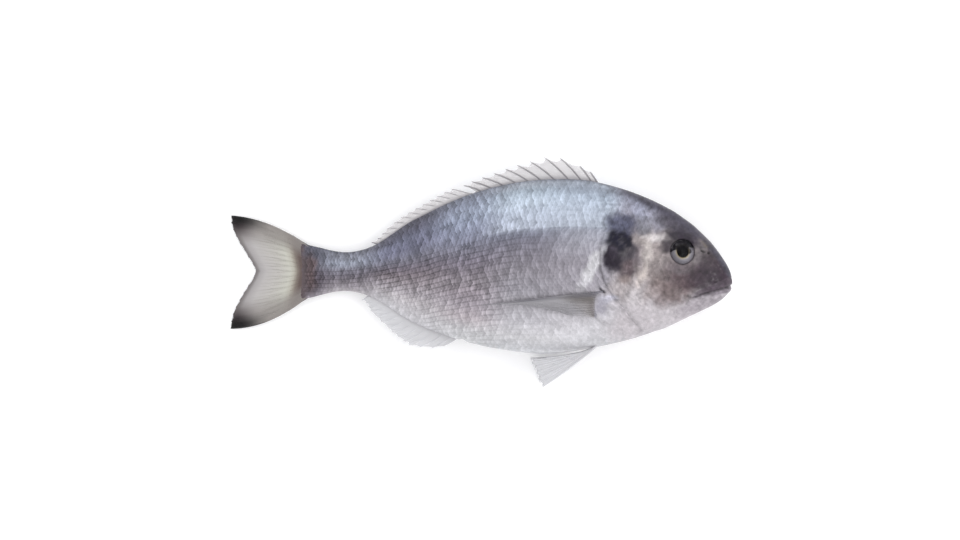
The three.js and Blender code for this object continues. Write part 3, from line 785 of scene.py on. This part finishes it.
def sheetPoint(rays, s, t):  # s counts the rays, t runs from root to tip
    s, t = np.broadcast_arrays(np.asarray(s, float), np.asarray(t, float))
    s = np.clip(s, 0, len(rays) - 1)
    i = np.clip(np.floor(s).astype(int), 0, len(rays) - 2)
    share = (s - i)[..., None]
    t = t[..., None]

    def onRay(ray):
        return ray[..., 0, :] * (1 - t) ** 2 + 2 * ray[..., 1, :] * t * (1 - t) + ray[..., 2, :] * t * t

    return onRay(rays[i]) * (1 - share) + onRay(rays[i + 1]) * share


def sheetNormal(rays, s, t):
    across = sheetPoint(rays, np.asarray(s) + 0.3, t) - sheetPoint(rays, np.asarray(s) - 0.3, t)
    along = sheetPoint(rays, s, np.asarray(t) + 0.03) - sheetPoint(rays, s, np.asarray(t) - 0.03)
    normal = np.cross(across, along)
    return normal / np.maximum(np.linalg.norm(normal, axis=-1, keepdims=True), 1e-9)


def rayReach(rays, fin, s):  # how much of each ray is there; the last ones shorten
    last = len(rays) - 1
    return fin.get("reach", 1.0) * (1 - fin.get("taper", 0) * ease(last - 3.5, last, s))


def finSkin(rays, fin):  # the closed sheet between the rays
    perGap, rows = fin["perGap"], fin["rows"]
    s = np.arange((len(rays) - 1) * perGap + 1) / perGap
    v = np.linspace(0, 1, rows + 1)
    f = s % 1
    dip = fin["notch"] * 4 * f * (1 - f) * (1 + fin.get("lean", 0) * (f - 0.5))
    fray = fin["fray"] * (0.5 + 0.5 * cloud(s * 3.1, 0 * s, 1.0, fin["seed"])) ** 2
    reach = rayReach(rays, fin, s) - dip - fray
    if "split" in fin:  # a gap in the skin behind one ray
        gapped = ease(fin["split"], fin["split"] + 0.35, s) * ease(fin["split"] + 1, fin["split"] + 0.8, s)
        reach = reach - 0.75 * gapped
    t = lerp(fin["start"], reach[:, None], v[None, :])
    s2 = s[:, None] + 0 * t
    middle = sheetPoint(rays, s2, t)
    normal = sheetNormal(rays, s2, t)
    sag = fin.get("sag", 0.15) * np.sin(np.pi * f)[:, None] * ease(0, 0.3, t)
    half = lerp(fin["skinRoot"], fin["skinEdge"], ease(0, 0.55, t))[..., None] / 2
    middle = middle - normal * sag[..., None]
    sheets = [middle + normal * half, middle - normal * half]
    columns, steps = t.shape
    index = np.arange(columns * steps).reshape(columns, steps)
    other = index + columns * steps
    faces = []
    for sheet in (index, other.T):  # the turned grid faces the other way
        corners = [sheet[:-1, :-1], sheet[1:, :-1], sheet[1:, 1:], sheet[:-1, 1:]]
        faces += np.stack(corners, -1).reshape(-1, 4).tolist()
    loop = np.concatenate([index[:, 0], index[-1, 1:], index[-2::-1, -1], index[0, -2:0:-1]])
    back = loop + columns * steps
    for a, b in zip(range(len(loop)), np.roll(range(len(loop)), -1)):
        faces.append([int(loop[b]), int(loop[a]), int(back[a]), int(back[b])])
    points = np.concatenate([sheet.reshape(-1, 3) for sheet in sheets])
    spread = np.stack([s2 / (len(rays) - 1), t, 0 * t], -1).reshape(-1, 3)
    return points, faces, np.concatenate([spread, spread])


def finRay(rays, s, t, radius):  # one strand, a tapered rod
    sides = 7
    path = sheetPoint(rays, s, t)
    normal = sheetNormal(rays, s, t)
    along = np.gradient(path, axis=0)
    along /= np.linalg.norm(along, axis=1, keepdims=True)
    across = np.cross(along, normal)
    turn = np.arange(sides) / sides * 2 * math.pi
    ring = np.cos(turn)[None, :, None] * across[:, None] + np.sin(turn)[None, :, None] * normal[:, None]
    points = (path[:, None] + ring * radius[:, None, None]).reshape(-1, 3)
    count = len(path)
    index = np.arange(count * sides).reshape(count, sides)
    nextSide = np.roll(index, -1, axis=1)
    faces = np.stack([index[:-1], nextSide[:-1], nextSide[1:], index[1:]], -1).reshape(-1, 4).tolist()
    faces += [index[0, ::-1].tolist(), index[-1].tolist()]
    length = np.concatenate([[0], np.cumsum(np.linalg.norm(np.diff(path, axis=0), axis=1))])
    spread = np.repeat(np.stack([s / (len(rays) - 1), t, length], -1), sides, axis=0)
    return points, faces, spread


def strands(fin, ray, end):  # a soft ray splits in two, and each half again
    # each strand is [across, along, share of thickness]
    def span(low, high):
        return np.linspace(low, high, max(4, int(fin["rows"] * (high - low))))

    first, second = fin.get("splits", (None, None))
    if first is None or ray in fin.get("spines", ()):
        t = span(fin["start"], end)
        return [(ray + 0 * t, t, 1.0)]
    t = span(fin["start"], first + 0.03)
    parts = [(ray + 0 * t, t, 1.0)]
    for one in (-1, 1):
        t = span(first, second + 0.03 if second else end)
        parts.append((ray + one * (0.05 + 0.2 * ease(first, first + 0.45, t)), t, 0.8))
        for two in (-1, 1) if second else ():
            t = span(second, end)
            half = ray + one * (0.05 + 0.2 * ease(first, first + 0.45, t))
            parts.append((half + two * (0.03 + 0.1 * ease(second, 1.1, t)), t, 0.66))
    return parts


def buildFin(name, node, rays, fin, materials):
    parts = [finSkin(rays, fin) + (0,)]
    last = len(rays) - 1
    for ray in range(len(rays)):
        spine = ray in fin.get("spines", ())
        thick, thin = fin["spineRadius"] if spine else fin["rayRadius"]
        end = 1.0 if spine else rayReach(rays, fin, ray) - 0.012
        for s, t, share in strands(fin, ray, end):
            radius = share * lerp(thick, thin, np.clip((t + 0.05) / 1.05, 0, 1) ** 0.8)
            if spine:  # sharp at the tip
                radius = radius * lerp(0.3, 1, ease(1.0, 0.88, t))
            parts.append(finRay(rays, np.clip(s, 0, last), t, radius) + (1,))
    points, faces, spreads, kinds = [], [], [], []
    offset = 0
    for part, partFaces, spread, kind in parts:
        points.append(part)
        spreads.append(spread)
        faces += [[v + offset for v in face] for face in partFaces]
        kinds += [kind] * len(partFaces)
        offset += len(part)
    makePiece(name, np.concatenate(points), faces, materials, node, faceMaterials=kinds,
              attributes={"spread": np.concatenate(spreads)})


def finMaterials(name, look):
    # Fin skin: two films of clear skin with some pigment, damp, so the light comes through.
    # Fin rays: clear to milky bone in jointed rods under that skin.
    jointLength = 1.1  # mm
    made = []
    for part in ("Skin", "Rays"):
        material, tree = newMaterial(name + part)
        spread = addNode(tree, "Attribute", attribute_name="spread")
        parts = addNode(tree, "SeparateXYZ", {0: spread.outputs["Vector"]})
        colour = addNode(tree, "ValToRGB", {0: parts.outputs[1]}, stops=look["root" + part], paint=underGloss)
        for edge in look.get("edges", ()):  # darker parts: by place across the fin, then by place along it
            across = addNode(tree, "ValToRGB", {0: parts.outputs[0]}, stops=edge["across"])
            along = addNode(tree, "ValToRGB", {0: parts.outputs[1]}, stops=edge["along"])
            share = addNode(tree, "Math", {0: across, 1: along}, operation="MULTIPLY")
            colour = addNode(tree, "MixRGB", {0: share, 1: colour, 2: underGloss(edge["colour"])})
        streaks = addNode(tree, "Mapping", {0: spread.outputs["Vector"], 3: (look["streaks"], 2.2, 0.0)})
        streaks = addNode(tree, "TexNoise", {"Vector": streaks, "Scale": 1.0, "Detail": 3.0})
        shade = addNode(tree, "MapRange", {0: streaks, 1: 0.3, 2: 0.7, 3: 1 - look["contrast"], 4: 1.0})
        colour = addNode(tree, "MixRGB", {0: 1.0, 1: colour, 2: shade}, blend_type="MULTIPLY")
        sockets = {"Roughness": 0.34, "IOR": 1.36, "Coat Weight": 0.15, "Coat Roughness": 0.15}
        if part == "Rays":
            turns = 2 * math.pi / jointLength
            joint = addNode(tree, "Math", {0: parts.outputs[2], 1: turns}, operation="MULTIPLY")
            joint = addNode(tree, "Math", {0: joint}, operation="SINE")
            dark = addNode(tree, "MapRange", {0: joint, 1: 0.75, 2: 1.0, 3: 1.0, 4: 0.86})
            colour = addNode(tree, "MixRGB", {0: 1.0, 1: colour, 2: dark}, blend_type="MULTIPLY")
            bump = addNode(tree, "Bump", {"Height": joint, "Strength": 0.3, "Distance": 0.08 * mm})
            sockets["Alpha"] = look.get("rayAlpha", 1.0)
        else:
            clear = addNode(tree, "ValToRGB", {0: parts.outputs[1]}, stops=look["alpha"])
            across = look.get("alphaAcross", [(0.0, 1.0), (1.0, 1.0)])
            across = addNode(tree, "ValToRGB", {0: parts.outputs[0]}, stops=across)
            clear = addNode(tree, "Math", {0: clear, 1: across}, operation="MULTIPLY")
            film = addNode(tree, "MapRange", {0: streaks, 1: 0.3, 2: 0.7, 3: 1.12, 4: 0.88})
            alpha = addNode(tree, "Math", {0: clear, 1: film}, operation="MULTIPLY", use_clamp=True)
            sockets["Alpha"] = alpha
            bump = addNode(tree, "Bump", {"Height": streaks, "Strength": 0.3, "Distance": 0.2 * mm})
        shader = addNode(tree, "BsdfPrincipled", {**sockets, "Base Color": colour, "Normal": bump})
        addNode(tree, "OutputMaterial", {0: shader})
        made.append(material)
    return made


gap = 0.3  # between the body and a fin's root in the frame

dorsal = {
    "spineRoots": [81, 84.5, 90.5, 98, 106.5, 114.5, 122, 129.5, 137, 144, 150],
    "spineLengths": [7.2, 11, 17.7, 19.3, 17.6, 16.5, 15.2, 14, 13.1, 12.2, 10.8],
    "spineLeans": [46, 45, 42, 41, 38, 36, 34, 32, 32, 33, 34],
    "spineDroop": 0.5,
    "softCount": 13, "softStart": 156.5, "softEnd": 212,
    "softLengths": (12, 7.5), "softLean": 35, "softDroop": 1.2,
    "perGap": 6, "rows": 22, "start": -0.14, "notch": 0.16, "lean": 0.8, "fray": 0.03, "seed": 21,
    "reach": 0.93, "split": 10, "taper": 0.55,
    "skinRoot": 0.9, "skinEdge": 0.22, "spineRadius": (0.74, 0.34), "rayRadius": (0.5, 0.1),
    "spines": range(11), "sag": 0.1,
}

anal = {
    "spineRoots": [165, 168, 172.5],
    "spineLengths": [8, 12.5, 15.5],
    "spineLeans": [48, 48, 48],
    "spineDroop": 0.8,
    "softCount": 11, "softStart": 177, "softEnd": 217,
    "softLengths": (18, 8.5), "softLean": 48, "softDroop": 1.5,
    "perGap": 6, "rows": 22, "start": -0.12, "notch": 0.07, "fray": 0.05, "seed": 22, "reach": 0.97,
    "taper": 0.5,
    "skinRoot": 0.9, "skinEdge": 0.22, "spineRadius": (0.7, 0.14), "rayRadius": (0.5, 0.1),
    "spines": range(3), "splits": (0.45, None),
}


def edgeRays(line, away, fin):  # rays that lean back from the back (away 1) or the belly (away -1)
    softRoots = np.linspace(fin["softStart"], fin["softEnd"], fin["softCount"])
    softLengths = np.linspace(*fin["softLengths"], fin["softCount"])
    spines = zip(fin["spineRoots"], fin["spineLengths"], fin["spineLeans"])
    every = [(*spine, fin["spineDroop"]) for spine in spines]
    every += [(*ray, fin["softLean"], fin["softDroop"]) for ray in zip(softRoots, softLengths)]
    rays = []
    for behind, length, lean, droop in every:
        angle = math.atan2(line(behind + 2) - line(behind - 2), 4) + away * math.radians(lean)
        root = np.array([-behind, line(behind) + away * gap, middleHeight(behind)])
        tip = root + np.array([-math.cos(angle) * length, math.sin(angle) * length, -droop])
        middle = (root + tip) / 2 + np.array([0, away * length * 0.08, 0])
        rays.append(bend(root, middle, tip))
    return np.array(rays)


tail = {
    "rayCount": 17, "rootHalf": 14.6, "halfSpans": (33.2, 34.6), "bows": (3.9, 5.0),  # upper and lower lobe
    "fork": 15.4, "forkPower": 1.25, "tipHeight": 1.1,
    "length": 300,
    "perGap": 6, "rows": 40, "start": -0.05, "notch": 0.012, "fray": 0.016, "seed": 23, "reach": 1.0,
    "skinRoot": 1.3, "skinEdge": 0.2, "rayRadius": (0.86, 0.17), "sag": 0.1,
    "splits": (0.22, 0.55),
}


def tailRays():
    share = np.linspace(1, -1, tail["rayCount"])
    length = fish["length"]
    rays = []
    for place in share:
        high = widestLine(length)
        root = np.array([-length - gap, high + tail["rootHalf"] * place, middleHeight(length)])
        notch = tail["fork"] * (1 - math.sin(abs(place) * math.pi / 2) ** tail["forkPower"])
        lobe = 0 if place > 0 else 1
        tip = np.array([-(tail["length"] - notch), high + tail["halfSpans"][lobe] * place, tail["tipHeight"]])
        rays.append(bend(root, (root + tip) / 2 + np.array([0, 2 * tail["bows"][lobe] * place, 0]), tip))
    return np.array(rays)


pectoral = {
    "rayCount": 15, "rootTop": (80, -12.2), "rootBottom": (82, -27),
    "longest": 74, "shortest": 17, "topSpine": 4,
    "fan": (6.7, -4), "lifts": (0.7, 1.9, 1.1),
    "pressedHeight": 0.55, "room": 1.35,  # the left fin and the flank over it, mm over the table
    "perGap": 5, "rows": 40, "start": -0.035, "notch": 0.03, "fray": 0.03, "seed": 24, "reach": 0.99,
    "skinRoot": 0.6, "skinEdge": 0.16, "rayRadius": (0.42, 0.13), "spineRadius": (0.5, 0.14), "spines": (0,),
    "sag": 0.06, "splits": (0.3, 0.7),
}


def pectoralTips():
    share = np.linspace(0, 1, pectoral["rayCount"])
    behind = lerp(pectoral["rootTop"][0], pectoral["rootBottom"][0], share)
    high = lerp(pectoral["rootTop"][1], pectoral["rootBottom"][1], share)
    length = lerp(pectoral["longest"], pectoral["shortest"], share ** 0.8)
    length[0] -= pectoral["topSpine"]
    angle = np.radians(lerp(*pectoral["fan"], share))
    return np.stack([behind + np.cos(angle) * length, high - np.sin(angle) * length, behind, high], -1)


def pectoralRays(side):
    rays = []
    for tipBehind, tipHigh, behind, high in pectoralTips():
        ends = [(behind, high), ((behind + tipBehind) / 2, (high + tipHigh) / 2), (tipBehind, tipHigh)]
        root, middle, tip = (onFlank(*place, side, lift) for place, lift in zip(ends, pectoral["lifts"]))
        if side < 0:
            for point in (root, middle, tip):
                point[2] = pectoral["pressedHeight"]
        rays.append(bend(root, 2 * middle - (root + tip) / 2, tip))
    return np.array(rays)


pelvic = {
    "rayCount": 6, "rootFront": (84.5, -47.5), "rootBack": (92, -48.9),
    "tipFront": (114.5, -70), "tipBack": (121, -52),
    "apart": 4.6, "rightRise": (5, 2), "leftTips": (1, 6),
    "perGap": 8, "rows": 30, "start": -0.14, "notch": 0.05, "fray": 0.05, "seed": 25, "reach": 0.98,
    "skinRoot": 1.0, "skinEdge": 0.18, "rayRadius": (0.6, 0.15), "spineRadius": (0.8, 0.2), "spines": (0,),
    "sag": 0.2, "splits": (0.25, 0.6),
}


def pelvicRays(side):
    rays = []
    for share in np.linspace(0, 1, pelvic["rayCount"]):
        behind = lerp(pelvic["rootFront"][0], pelvic["rootBack"][0], share)
        across = middleHeight(behind) + side * pelvic["apart"]
        root = np.array([-behind, lerp(pelvic["rootFront"][1], pelvic["rootBack"][1], share), across])
        spread = share ** 0.85
        height = lerp(*pelvic["leftTips"], share)
        if side > 0:
            height = across + lerp(*pelvic["rightRise"], share)
        tip = np.array([-lerp(pelvic["tipFront"][0], pelvic["tipBack"][0], spread),
                        lerp(pelvic["tipFront"][1], pelvic["tipBack"][1], spread), height])
        rays.append(bend(root, (root + tip) / 2 + np.array([0, -1.6, 0.8 * side]), tip))
    return np.array(rays)


def mirrored(stops):  # the same from both edges of the fin
    return stops + [(1 - place, value) for place, value in reversed(stops)]


# stops run from root to tip, or from the first ray to the last where they say across
finLooks = {
    "dorsal": {
        "rootSkin": [(0.0, "#c4c1c4"), (0.2, "#ece9ea"), (0.85, "#f0edee"), (1.0, "#dcd8d8")],
        "rootRays": [(0.0, "#9a979b"), (0.5, "#a9a6a9"), (0.8, "#b1afb0"), (1.0, "#b9b7b8")],
        "alpha": [(0.0, 0.9), (0.3, 0.58), (0.9, 0.45), (1.0, 0.6)],
        "streaks": 150.0, "contrast": 0.12,
    },
    "belly": {
        "rootSkin": [(0.0, "#e2e1e4"), (0.3, "#ebebee"), (1.0, "#f2f2f5")],
        "rootRays": [(0.0, "#dedde1"), (0.5, "#e8e8ec"), (1.0, "#f0f0f3")],
        "alpha": [(0.0, 0.95), (0.3, 0.8), (1.0, 0.66)],
        "streaks": 60.0, "contrast": 0.2,
    },
    "pectoral": {
        "rootSkin": [(0.0, "#c4c2ce"), (0.06, "#a7a09f"), (0.2, "#c0bcbd"), (0.4, "#c6c4c8"),
                     (1.0, "#bfbdc2")],
        "rootRays": [(0.0, "#c4c2ce"), (0.06, "#a8a1a0"), (0.2, "#c4c0c1"), (0.4, "#cbc9cd"),
                     (1.0, "#c6c4c9")],
        "alpha": [(0.0, 0.9), (0.3, 0.7), (1.0, 0.5)],
        "alphaAcross": [(0.0, 1.0), (0.2, 1.0), (0.42, 0.55), (0.7, 0.35), (1.0, 0.25)],
        "rayAlpha": 0.6,
        "streaks": 80.0, "contrast": 0.2,
        "edges": [
            {"colour": "#7d7876", "across": [(0.0, 0.3), (0.1, 1.0), (0.3, 0.8), (0.5, 0.0), (1.0, 0.0)],
             "along": [(0.0, 0.4), (0.08, 1.0), (0.24, 0.8), (0.4, 0.0), (1.0, 0.0)]},
            {"colour": "#7a7882", "across": [(0.0, 0.8), (0.1, 0.7), (0.24, 0.0), (1.0, 0.0)],
             "along": [(0.0, 0.9), (0.08, 1.0), (0.3, 0.55), (0.6, 0.95), (0.85, 0.6), (1.0, 0.0)]},
        ],
    },
    "tail": {
        "rootSkin": [(0.0, "#6b5d5e"), (0.13, "#71635f"), (0.19, "#90867d"), (0.26, "#c8c4b8"),
                     (0.33, "#d7d6cb"), (0.5, "#d1cec8"), (0.78, "#ccc8c7"), (0.9, "#b9b5b5"),
                     (0.95, "#928d8d"), (1.0, "#807b7b")],
        "rootRays": [(0.0, "#6b5d5e"), (0.13, "#71635f"), (0.19, "#8c8279"), (0.26, "#bdb8ac"),
                     (0.33, "#cccbc0"), (0.5, "#c6c3bc"), (0.78, "#c0bcba"), (0.9, "#aeaaaa"),
                     (0.95, "#8a8585"), (1.0, "#787373")],
        "alpha": [(0.0, 1.0), (0.5, 0.97), (1.0, 0.92)],
        "streaks": 75.0, "contrast": 0.2,
        "edges": [
            {"colour": "#98928e", "across": mirrored([(0.0, 1.0), (0.12, 0.85), (0.27, 0.0)]),
             "along": [(0.0, 1.0), (0.6, 0.85), (1.0, 0.4)]},
            {"colour": "#6b6364", "across": mirrored([(0.0, 1.0), (0.1, 0.9), (0.24, 0.0)]),
             "along": [(0.62, 0.0), (0.9, 1.0)]},
            {"colour": "#3f373a", "across": mirrored([(0.0, 1.0), (0.08, 0.9), (0.19, 0.0)]),
             "along": [(0.7, 0.0), (0.92, 1.0)]},
            {"colour": "#1d181b", "across": mirrored([(0.0, 1.0), (0.045, 0.9), (0.12, 0.0)]),
             "along": [(0.5, 0.0), (0.72, 0.8), (0.85, 1.0)]},
        ],
    },
}


# Eyes: a silver iris and a black pupil under a clear dome

eye = {
    "radius": 7.6,
    "pupil": 3.7,
    "proud": 1.45,  # the cornea's top over the head
    "rim": -0.35,  # its edge, just under the skin
    "irisDrop": 0.75,
    "segments": 96,
}


def eyeFrame(side):
    behind, high = skin["eye"]
    place = onFlank(behind, high, side)
    ahead = onFlank(behind - 0.5, high, side) - onFlank(behind + 0.5, high, side)
    above = onFlank(behind, high + 0.5, side) - onFlank(behind, high - 0.5, side)
    normal = np.cross(ahead, above) * side
    normal /= np.linalg.norm(normal)
    ahead /= np.linalg.norm(ahead)
    return place, ahead, np.cross(normal, ahead), normal


def turned(profile, side):  # a shape of revolution on the eye's axis: [radius, height] from the middle out
    place, ahead, above, normal = eyeFrame(side)
    turn = np.arange(eye["segments"]) / eye["segments"] * 2 * math.pi
    rings = []
    flat = []
    for radius, height in profile:
        flatX, flatY = radius * np.cos(turn), radius * np.sin(turn)
        rings.append(place + flatX[:, None] * ahead + flatY[:, None] * above + height * normal)
        flat.append(np.stack([flatX, flatY * side, 0 * flatX], -1) / eye["radius"])
    points = np.concatenate(rings + [[place + profile[0][1] * normal], [place + profile[-1][1] * normal]])
    flat = np.concatenate(flat + [np.zeros((1, 3)), flat[-1][:1]])
    count, around = len(profile), eye["segments"]
    index = np.arange(count * around).reshape(count, around)
    nextOne = np.roll(index, -1, axis=1)
    faces = np.stack([index[:-1], index[1:], nextOne[1:], nextOne[:-1]], -1).reshape(-1, 4).tolist()
    top, bottom = count * around, count * around + 1
    faces += [[top, int(index[0, k]), int(nextOne[0, k])] for k in range(around)]
    faces += [[bottom, int(nextOne[-1, k]), int(index[-1, k])] for k in range(around)]
    return points, faces, flat


def irisMaterial():
    # Iris: mirror platelets, silver with a thin gold ring, dark on top; the pupil is a black hole
    material, tree = newMaterial("silverIris")
    flat = addNode(tree, "Attribute", attribute_name="flat")
    parts = addNode(tree, "SeparateXYZ", {0: flat.outputs["Vector"]})
    away = addNode(tree, "VectorMath", {0: flat.outputs["Vector"]}, operation="LENGTH").outputs["Value"]
    edge = eye["pupil"] / eye["radius"]
    colour = addNode(tree, "ValToRGB", {0: away}, stops=[
        (0.0, "#010102"), (edge - 0.012, "#010102"), (edge + 0.012, "#a3916d"), (edge + 0.06, "#a79f93"),
        (edge + 0.2, "#8f8b91"), (0.84, "#7c777d"), (0.95, "#6a656b"), (1.0, "#59545b")])
    turn = addNode(tree, "Math", {0: parts.outputs[1], 1: parts.outputs[0]}, operation="ARCTAN2")
    streak = addNode(tree, "CombineXYZ", {0: turn, 1: away})
    streaks = addNode(tree, "Mapping", {0: streak, 3: (3.0, 4.0, 1.0)})
    streaks = addNode(tree, "TexNoise", {"Vector": streaks, "Scale": 3.0, "Detail": 5.0, "Roughness": 0.65})
    clouds = addNode(tree, "TexNoise", {"Vector": flat.outputs["Vector"], "Scale": 2.6, "Detail": 4.0})
    shade = addNode(tree, "MapRange", {0: streaks, 1: 0.3, 2: 0.7, 3: 0.75, 4: 1.15})
    colour = addNode(tree, "MixRGB", {0: 1.0, 1: colour, 2: shade}, blend_type="MULTIPLY")
    smoke = addNode(tree, "MapRange", {0: clouds, 1: 0.3, 2: 0.7, 3: -0.4, 4: 0.4})
    brow = addNode(tree, "Math", {0: parts.outputs[1], 1: smoke}, operation="ADD")
    brow = addNode(tree, "MapRange", {0: brow, 1: -0.05, 2: 0.32, 4: 0.97}, interpolation_type="SMOOTHSTEP")
    colour = addNode(tree, "MixRGB", {0: brow, 1: colour, 2: linear("#0d0a10")})
    metal = addNode(tree, "MapRange", {0: away, 1: edge - 0.01, 2: edge + 0.02, 3: 0.0, 4: 0.55})
    shader = addNode(tree, "BsdfPrincipled", {
        "Base Color": colour, "Metallic": metal, "Roughness": 0.4, "Specular IOR Level": 0.05,
    })
    addNode(tree, "OutputMaterial", {0: shader})
    return material


def corneaMaterial():
    # Cornea: clear, wet and smooth, so it only mirrors the lights
    material, tree = newMaterial("wetCornea")
    mirror = addNode(tree, "Fresnel", {"IOR": 1.2})
    clear = addNode(tree, "BsdfTransparent", {0: (0.96, 0.97, 0.98, 1)})
    gloss = addNode(tree, "BsdfAnisotropic", {"Color": (0.75, 0.75, 0.75, 1), "Roughness": 0.03})
    shader = addNode(tree, "MixShader", {0: mirror, 1: clear, 2: gloss})
    addNode(tree, "OutputMaterial", {0: shader})
    return material


def buildEyes():
    iris, cornea = irisMaterial(), corneaMaterial()
    radius, pupil = eye["radius"], eye["pupil"]
    for side, label in ((1, "Right"), (-1, "Left")):
        share = np.linspace(0.04, 1, 16)
        dome = [(radius * s * 1.03, lerp(eye["proud"], eye["rim"], s ** 2.4)) for s in share]
        dome += [(radius * 0.98, eye["rim"] - 0.5), (radius * 0.5, eye["rim"] - 0.6)]
        drop = eye["irisDrop"]
        disc = [(pupil * s, eye["proud"] - drop - 0.25 + 0.1 * (1 - s)) for s in (0.1, 0.5, 0.93)]
        disc += [(pupil * 1.02, eye["proud"] - drop)]
        for s in np.linspace(pupil / radius + 0.06, 1, 9):
            fall = ((s - 0.4) / 0.6) ** 1.7
            disc.append((radius * s * 0.99, lerp(eye["proud"] - drop, eye["rim"] - 0.15, fall)))
        disc += [(radius * 0.9, eye["rim"] - 1.6), (radius * 0.4, eye["rim"] - 2.4)]
        node = "eye_" + label.lower()
        points, faces, flat = turned(disc, side)
        makePiece("iris" + label, points, faces, [iris], node, attributes={"flat": flat})
        points, faces, _ = turned(dome, side)
        makePiece("cornea" + label, points, faces, [cornea], node)


buildSkin()
print("skin done")
buildEyes()
print("eyes done")

dorsalLook, bellyLook, pectoralLook, tailLook = (
    finMaterials(name + "Fin", finLooks[name]) for name in ("dorsal", "belly", "pectoral", "tail"))
buildFin("dorsalFin", "dorsal_fin", edgeRays(backLine, 1, dorsal), dorsal, dorsalLook)
buildFin("analFin", "anal_fin", edgeRays(bellyLine, -1, anal), anal, bellyLook)
buildFin("tailFin", "tail_fin", tailRays(), tail, tailLook)
for side, label in ((1, "Right"), (-1, "Left")):
    node = "_fin_" + label.lower()
    buildFin("pectoralFin" + label, "pectoral" + node, pectoralRays(side), pectoral, pectoralLook)
    buildFin("pelvicFin" + label, "pelvic" + node, pelvicRays(side), pelvic, bellyLook)
print("fins done")


# Table, light and camera

stage = {
    "tableSize": 12.0,  # metres
    "tableColour": "#fbfbfb",
    "tableGlow": 0.12,  # lit a little from below, which keeps the shadows pale
    "skyColour": "#f8f8fa",
    "skyStrength": 1.28,
    "ceiling": 0.4,  # the room is darker straight above, so wet skin keeps its dark colours
    "ceilingEdges": (0.8, 0.92),  # height on the sky where the darker ceiling starts and is full
    # place, size and power of each soft light, in metres and watts; each looks at the fish
    "lights": [("backSoftbox", (0.05, 1.25, 0.95), (1.5, 0.8), 6),
               ("bellySoftbox", (-0.1, -1.3, 1.1), (1.2, 0.8), 4.5),
               ("noseSoftbox", (1.1, 0.2, 1.5), (0.9, 0.9), 4)],
    "cameraHeight": 2.6,
    "outlineHeight": 0.013,  # metres over the table, where the view width is measured
    "viewWidth": 0.5732,  # metres of table across the view
    "viewMiddle": (-0.0002, 0.0016),
    "viewTurn": 0.2,  # degrees
}


def buildStage():
    bpy.ops.mesh.primitive_circle_add(vertices=96, radius=stage["tableSize"] / 2, fill_type="NGON")
    table = bpy.context.object
    table.name = "paleTable"
    # Table: matt white laminate, so only a faint broad sheen
    material, tree = newMaterial("mattWhiteTable")
    shader = addNode(tree, "BsdfPrincipled", {"Base Color": linear(stage["tableColour"]), "Roughness": 0.85,
                                               "Emission Color": linear(stage["tableColour"]),
                                               "Emission Strength": stage["tableGlow"]})
    addNode(tree, "OutputMaterial", {0: shader})
    table.data.materials.append(material)
    world = bpy.data.worlds.new("paleSky")
    world.use_nodes = True
    sky = world.node_tree
    background = sky.nodes["Background"]
    background.inputs[0].default_value = linear(stage["skyColour"])
    height = addNode(sky, "TexCoord").outputs["Generated"]
    height = addNode(sky, "SeparateXYZ", {0: height}).outputs[2]
    low, high = stage["ceilingEdges"]
    strength = addNode(sky, "MapRange", {0: height, 1: low, 2: high, 3: stage["skyStrength"],
                                         4: stage["skyStrength"] * stage["ceiling"]},
                       interpolation_type="SMOOTHSTEP")
    sky.links.new(strength.outputs[0], background.inputs[1])
    bpy.context.scene.world = world
    for name, place, size, power in stage["lights"]:
        light = bpy.data.lights.new(name, "AREA")
        light.shape = "RECTANGLE"
        light.size, light.size_y = size
        light.energy = power
        lamp = bpy.data.objects.new(name, light)
        lamp.location = place
        lamp.rotation_euler = lookAlong(-np.array(place))
        bpy.context.scene.collection.objects.link(lamp)
    bpy.context.scene.view_settings.view_transform = "Standard"


def lookAlong(direction):  # the turn that points a lamp's -Z along direction
    x, y, z = direction
    return (math.atan2(math.hypot(x, y), -z), 0, math.atan2(y, x) - math.pi / 2)


def buildCamera():
    camera = bpy.data.cameras.new("camera")
    camera.sensor_width = 36
    distance = stage["cameraHeight"] - stage["outlineHeight"]
    camera.lens = camera.sensor_width * distance / stage["viewWidth"]
    eyePoint = bpy.data.objects.new("camera", camera)
    eyePoint.location = (*stage["viewMiddle"], stage["cameraHeight"])
    eyePoint.rotation_euler = (0, 0, math.radians(stage["viewTurn"]))
    bpy.context.scene.collection.objects.link(eyePoint)
    bpy.context.scene.camera = eyePoint


buildStage()
buildCamera()
print("stage done")
